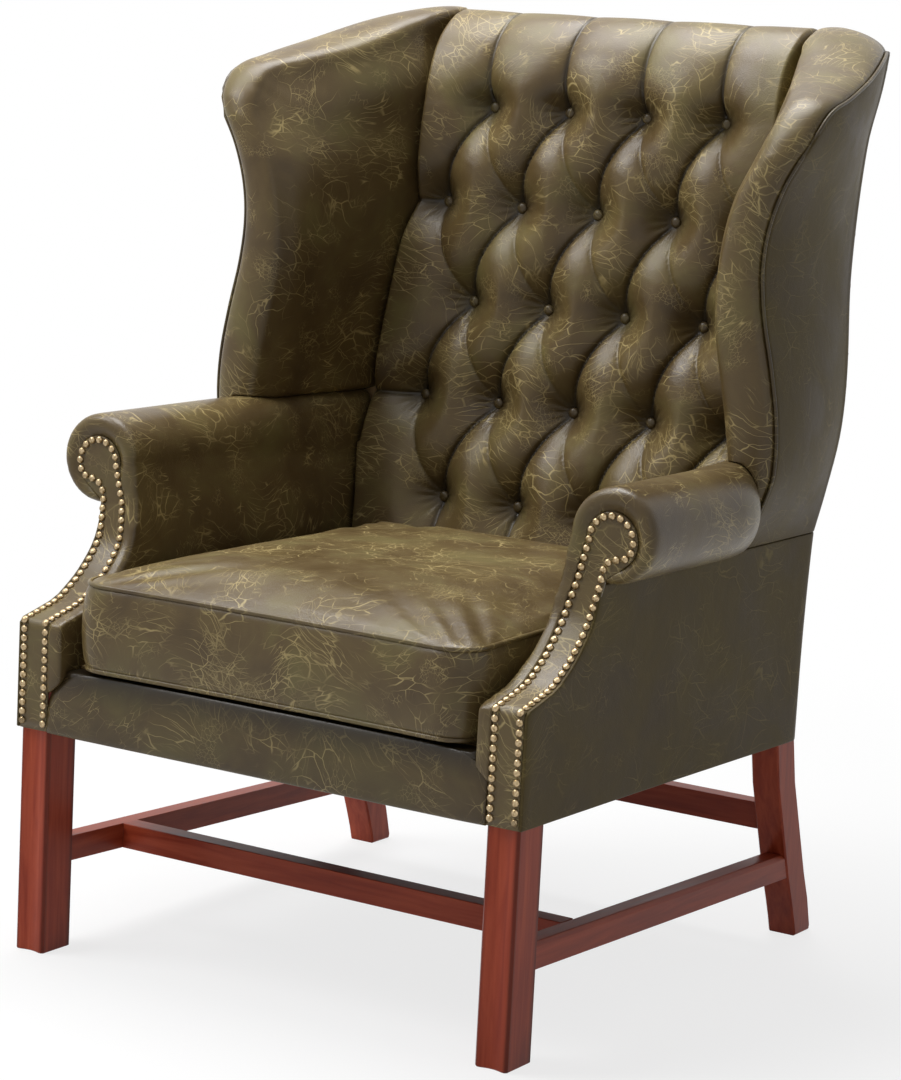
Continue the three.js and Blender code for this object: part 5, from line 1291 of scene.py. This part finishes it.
def swellCushion(piece):
    remesh(piece, cushion["voxel"])
    rest = np.array([v.co for v in piece.data.vertices])
    group = piece.vertex_groups.new(name="seams")
    low, high = (cushion["low"] + cushion["seamUp"]) / 1000, (cushionTop - cushion["seamDown"]) / 1000
    tall, wide = (reach / 1000 for reach in cushion["seamReach"])
    outline = np.array([spot(x, y, 0)[:2] for x, y in cushionOutline(cushion["shrink"] + 5)])
    for v in piece.data.vertices:
        gap = np.min(np.hypot(outline[:, 0] - v.co.x, outline[:, 1] - v.co.y))
        nearSeam = min(abs(v.co.z - low), abs(v.co.z - high)) < tall and gap < wide
        if nearSeam or v.co.z < low - 0.003:  # the sewn edges and the underside keep their place
            group.add([v.index], 1.0, "REPLACE")
    cloth = change(piece, "CLOTH")
    assign(cloth.settings, {
        "vertex_group_mass": "seams", "pin_stiffness": 1.0, "use_pressure": True,
        "uniform_pressure_force": cushion["pressure"], "tension_stiffness": 25, "compression_stiffness": 25,
        "bending_stiffness": 2.0, "quality": 6,
    })
    cloth.settings.effector_weights.gravity = 0.0
    cloth.collision_settings.use_collision = False
    scene = bpy.context.scene
    for i in range(1, cushion["frames"] + 1):
        scene.frame_set(i)
    deps = bpy.context.evaluated_depsgraph_get()
    swollen = np.array([v.co for v in piece.evaluated_get(deps).data.vertices])
    scene.frame_set(1)
    piece.modifiers.clear()
    move = swollen - rest
    length = np.linalg.norm(move, axis=1)
    cap = cushion["cap"] / 1000
    share = np.where(length > 1e-9, cap * np.tanh(length / cap) / np.maximum(length, 1e-9), 0)
    final = rest + move * share[:, None]
    piece.data.vertices.foreach_set("co", final.astype(np.float32).ravel())
    piece.data.update()
    print("cushion swelled", round(float(length.max()) * 1000, 1), "mm at most")
    change(piece, "SMOOTH", factor=0.4, iterations=3)
    change(piece, "SUBSURF", levels=1, render_levels=1)
    return bake(piece)


seat = swellCushion(cushionBase())
seatTree = BVHTree.FromObject(seat, bpy.context.evaluated_depsgraph_get())


def seatPiping(name, z):
    path = []
    for x, y in cushionOutline(cushion["shrink"] + 1.0, perSide=60, arc=12):
        at, normal, _, _ = seatTree.find_nearest(spot(x, y, z))
        local = at + normal * 0.0006
        path.append((local.x * 1000, (local.y - legFaceY) * 1000, z))
    return tube(name, path, cushion["piping"], leather, closed=True, sides=12)


settle(seat, "cushion", "inside_leather", "seat_cushion", fill=0.8)
settle(seatPiping("cushionPipingTop", cushionTop + 0.5), "cushion", "inside_leather")
settle(seatPiping("cushionPipingBottom", cushion["low"] + 5.5), "cushion", "inside_leather")
print("cushion made")

# Studio: pale floor that runs into white, two soft lamps above and a weak one to the side
studio = {
    "floor": "#ececec", "world": 0.125, "radius": 12.0, "sides": 64,
    "paleFrom": 0.5, "paleTo": 2.0, "pale": 0.78,  # metres in which the floor runs into white, share inside
    "lamps": [  # place, target, width, height, watts
        ((-1.7, -1.4, 2.8), (0, 0, 0.7), 1.3, 1.3, 60),
        ((-0.6, 0.3, 3.0), (0, 0, 0.5), 1.8, 1.5, 86),
        ((2.4, -1.9, 1.6), (0, 0, 0.4), 1.2, 1.2, 3),
    ],
}


def seenRays(add):  # 1 for the rays that show the ground itself, 0 for those that light the chair
    ray = add("LightPath").outputs
    seen = add("Math", {0: ray["Is Camera Ray"], 1: ray["Is Glossy Ray"]}, operation="MAXIMUM")
    return add("Math", {0: seen, 1: ray["Is Transmission Ray"]}, operation="MAXIMUM")


def addFloor():
    mesh = bpy.data.meshes.new("studioFloor")
    edge = [(studio["radius"] * c, studio["radius"] * s, 0) for c, s in circle(studio["sides"])]
    mesh.from_pydata(edge, [], [tuple(range(studio["sides"]))])
    material, add, shade = newMaterial("paintedFloor")
    shade({"Base Color": studio["floor"], "Roughness": 0.9})
    far = add("VectorMath", {0: add("TexCoord").outputs["Object"]}, operation="LENGTH").outputs["Value"]
    share = add("MapRange", {"Value": far, "From Min": studio["paleFrom"], "From Max": studio["paleTo"],
                             "To Min": studio["pale"], "To Max": 1.0}, interpolation_type="SMOOTHSTEP")
    amount = add("Math", {0: seenRays(add), 1: share}, operation="MULTIPLY")
    white = add("Emission", {"Color": (1, 1, 1, 1), "Strength": 1.0})
    tree = material.node_tree
    both = add("MixShader", {0: amount, 1: tree.nodes["Principled BSDF"], 2: white})
    plug(tree, tree.nodes["Material Output"], {"Surface": both})
    mesh.materials.append(material)
    addObject("studioFloor", mesh)


def addWorld():
    world = bpy.data.worlds.new("studioWorld")
    bpy.context.scene.world = world
    world.use_nodes = True
    tree = world.node_tree
    add = partial(addNode, tree)
    level = add("MapRange", {"Value": seenRays(add), "To Min": studio["world"], "To Max": 1.0})
    plug(tree, tree.nodes["Background"], {"Color": (1, 1, 1, 1), "Strength": level})


def addLamp(name, place, target, width, height, watts):
    data = bpy.data.lights.new(name, "AREA")
    assign(data, {"shape": "RECTANGLE", "size": width, "size_y": height, "energy": watts})
    lamp = addObject(name, data)
    lamp.location = place
    lamp.rotation_euler = (Vector(target) - Vector(place)).to_track_quat("-Z", "Y").to_euler()


addFloor()
addWorld()
for i, lamp in enumerate(studio["lamps"]):
    addLamp(f"softLamp{i + 1}", *lamp)
bpy.context.scene.view_settings.view_transform = "Standard"
print("studio set")
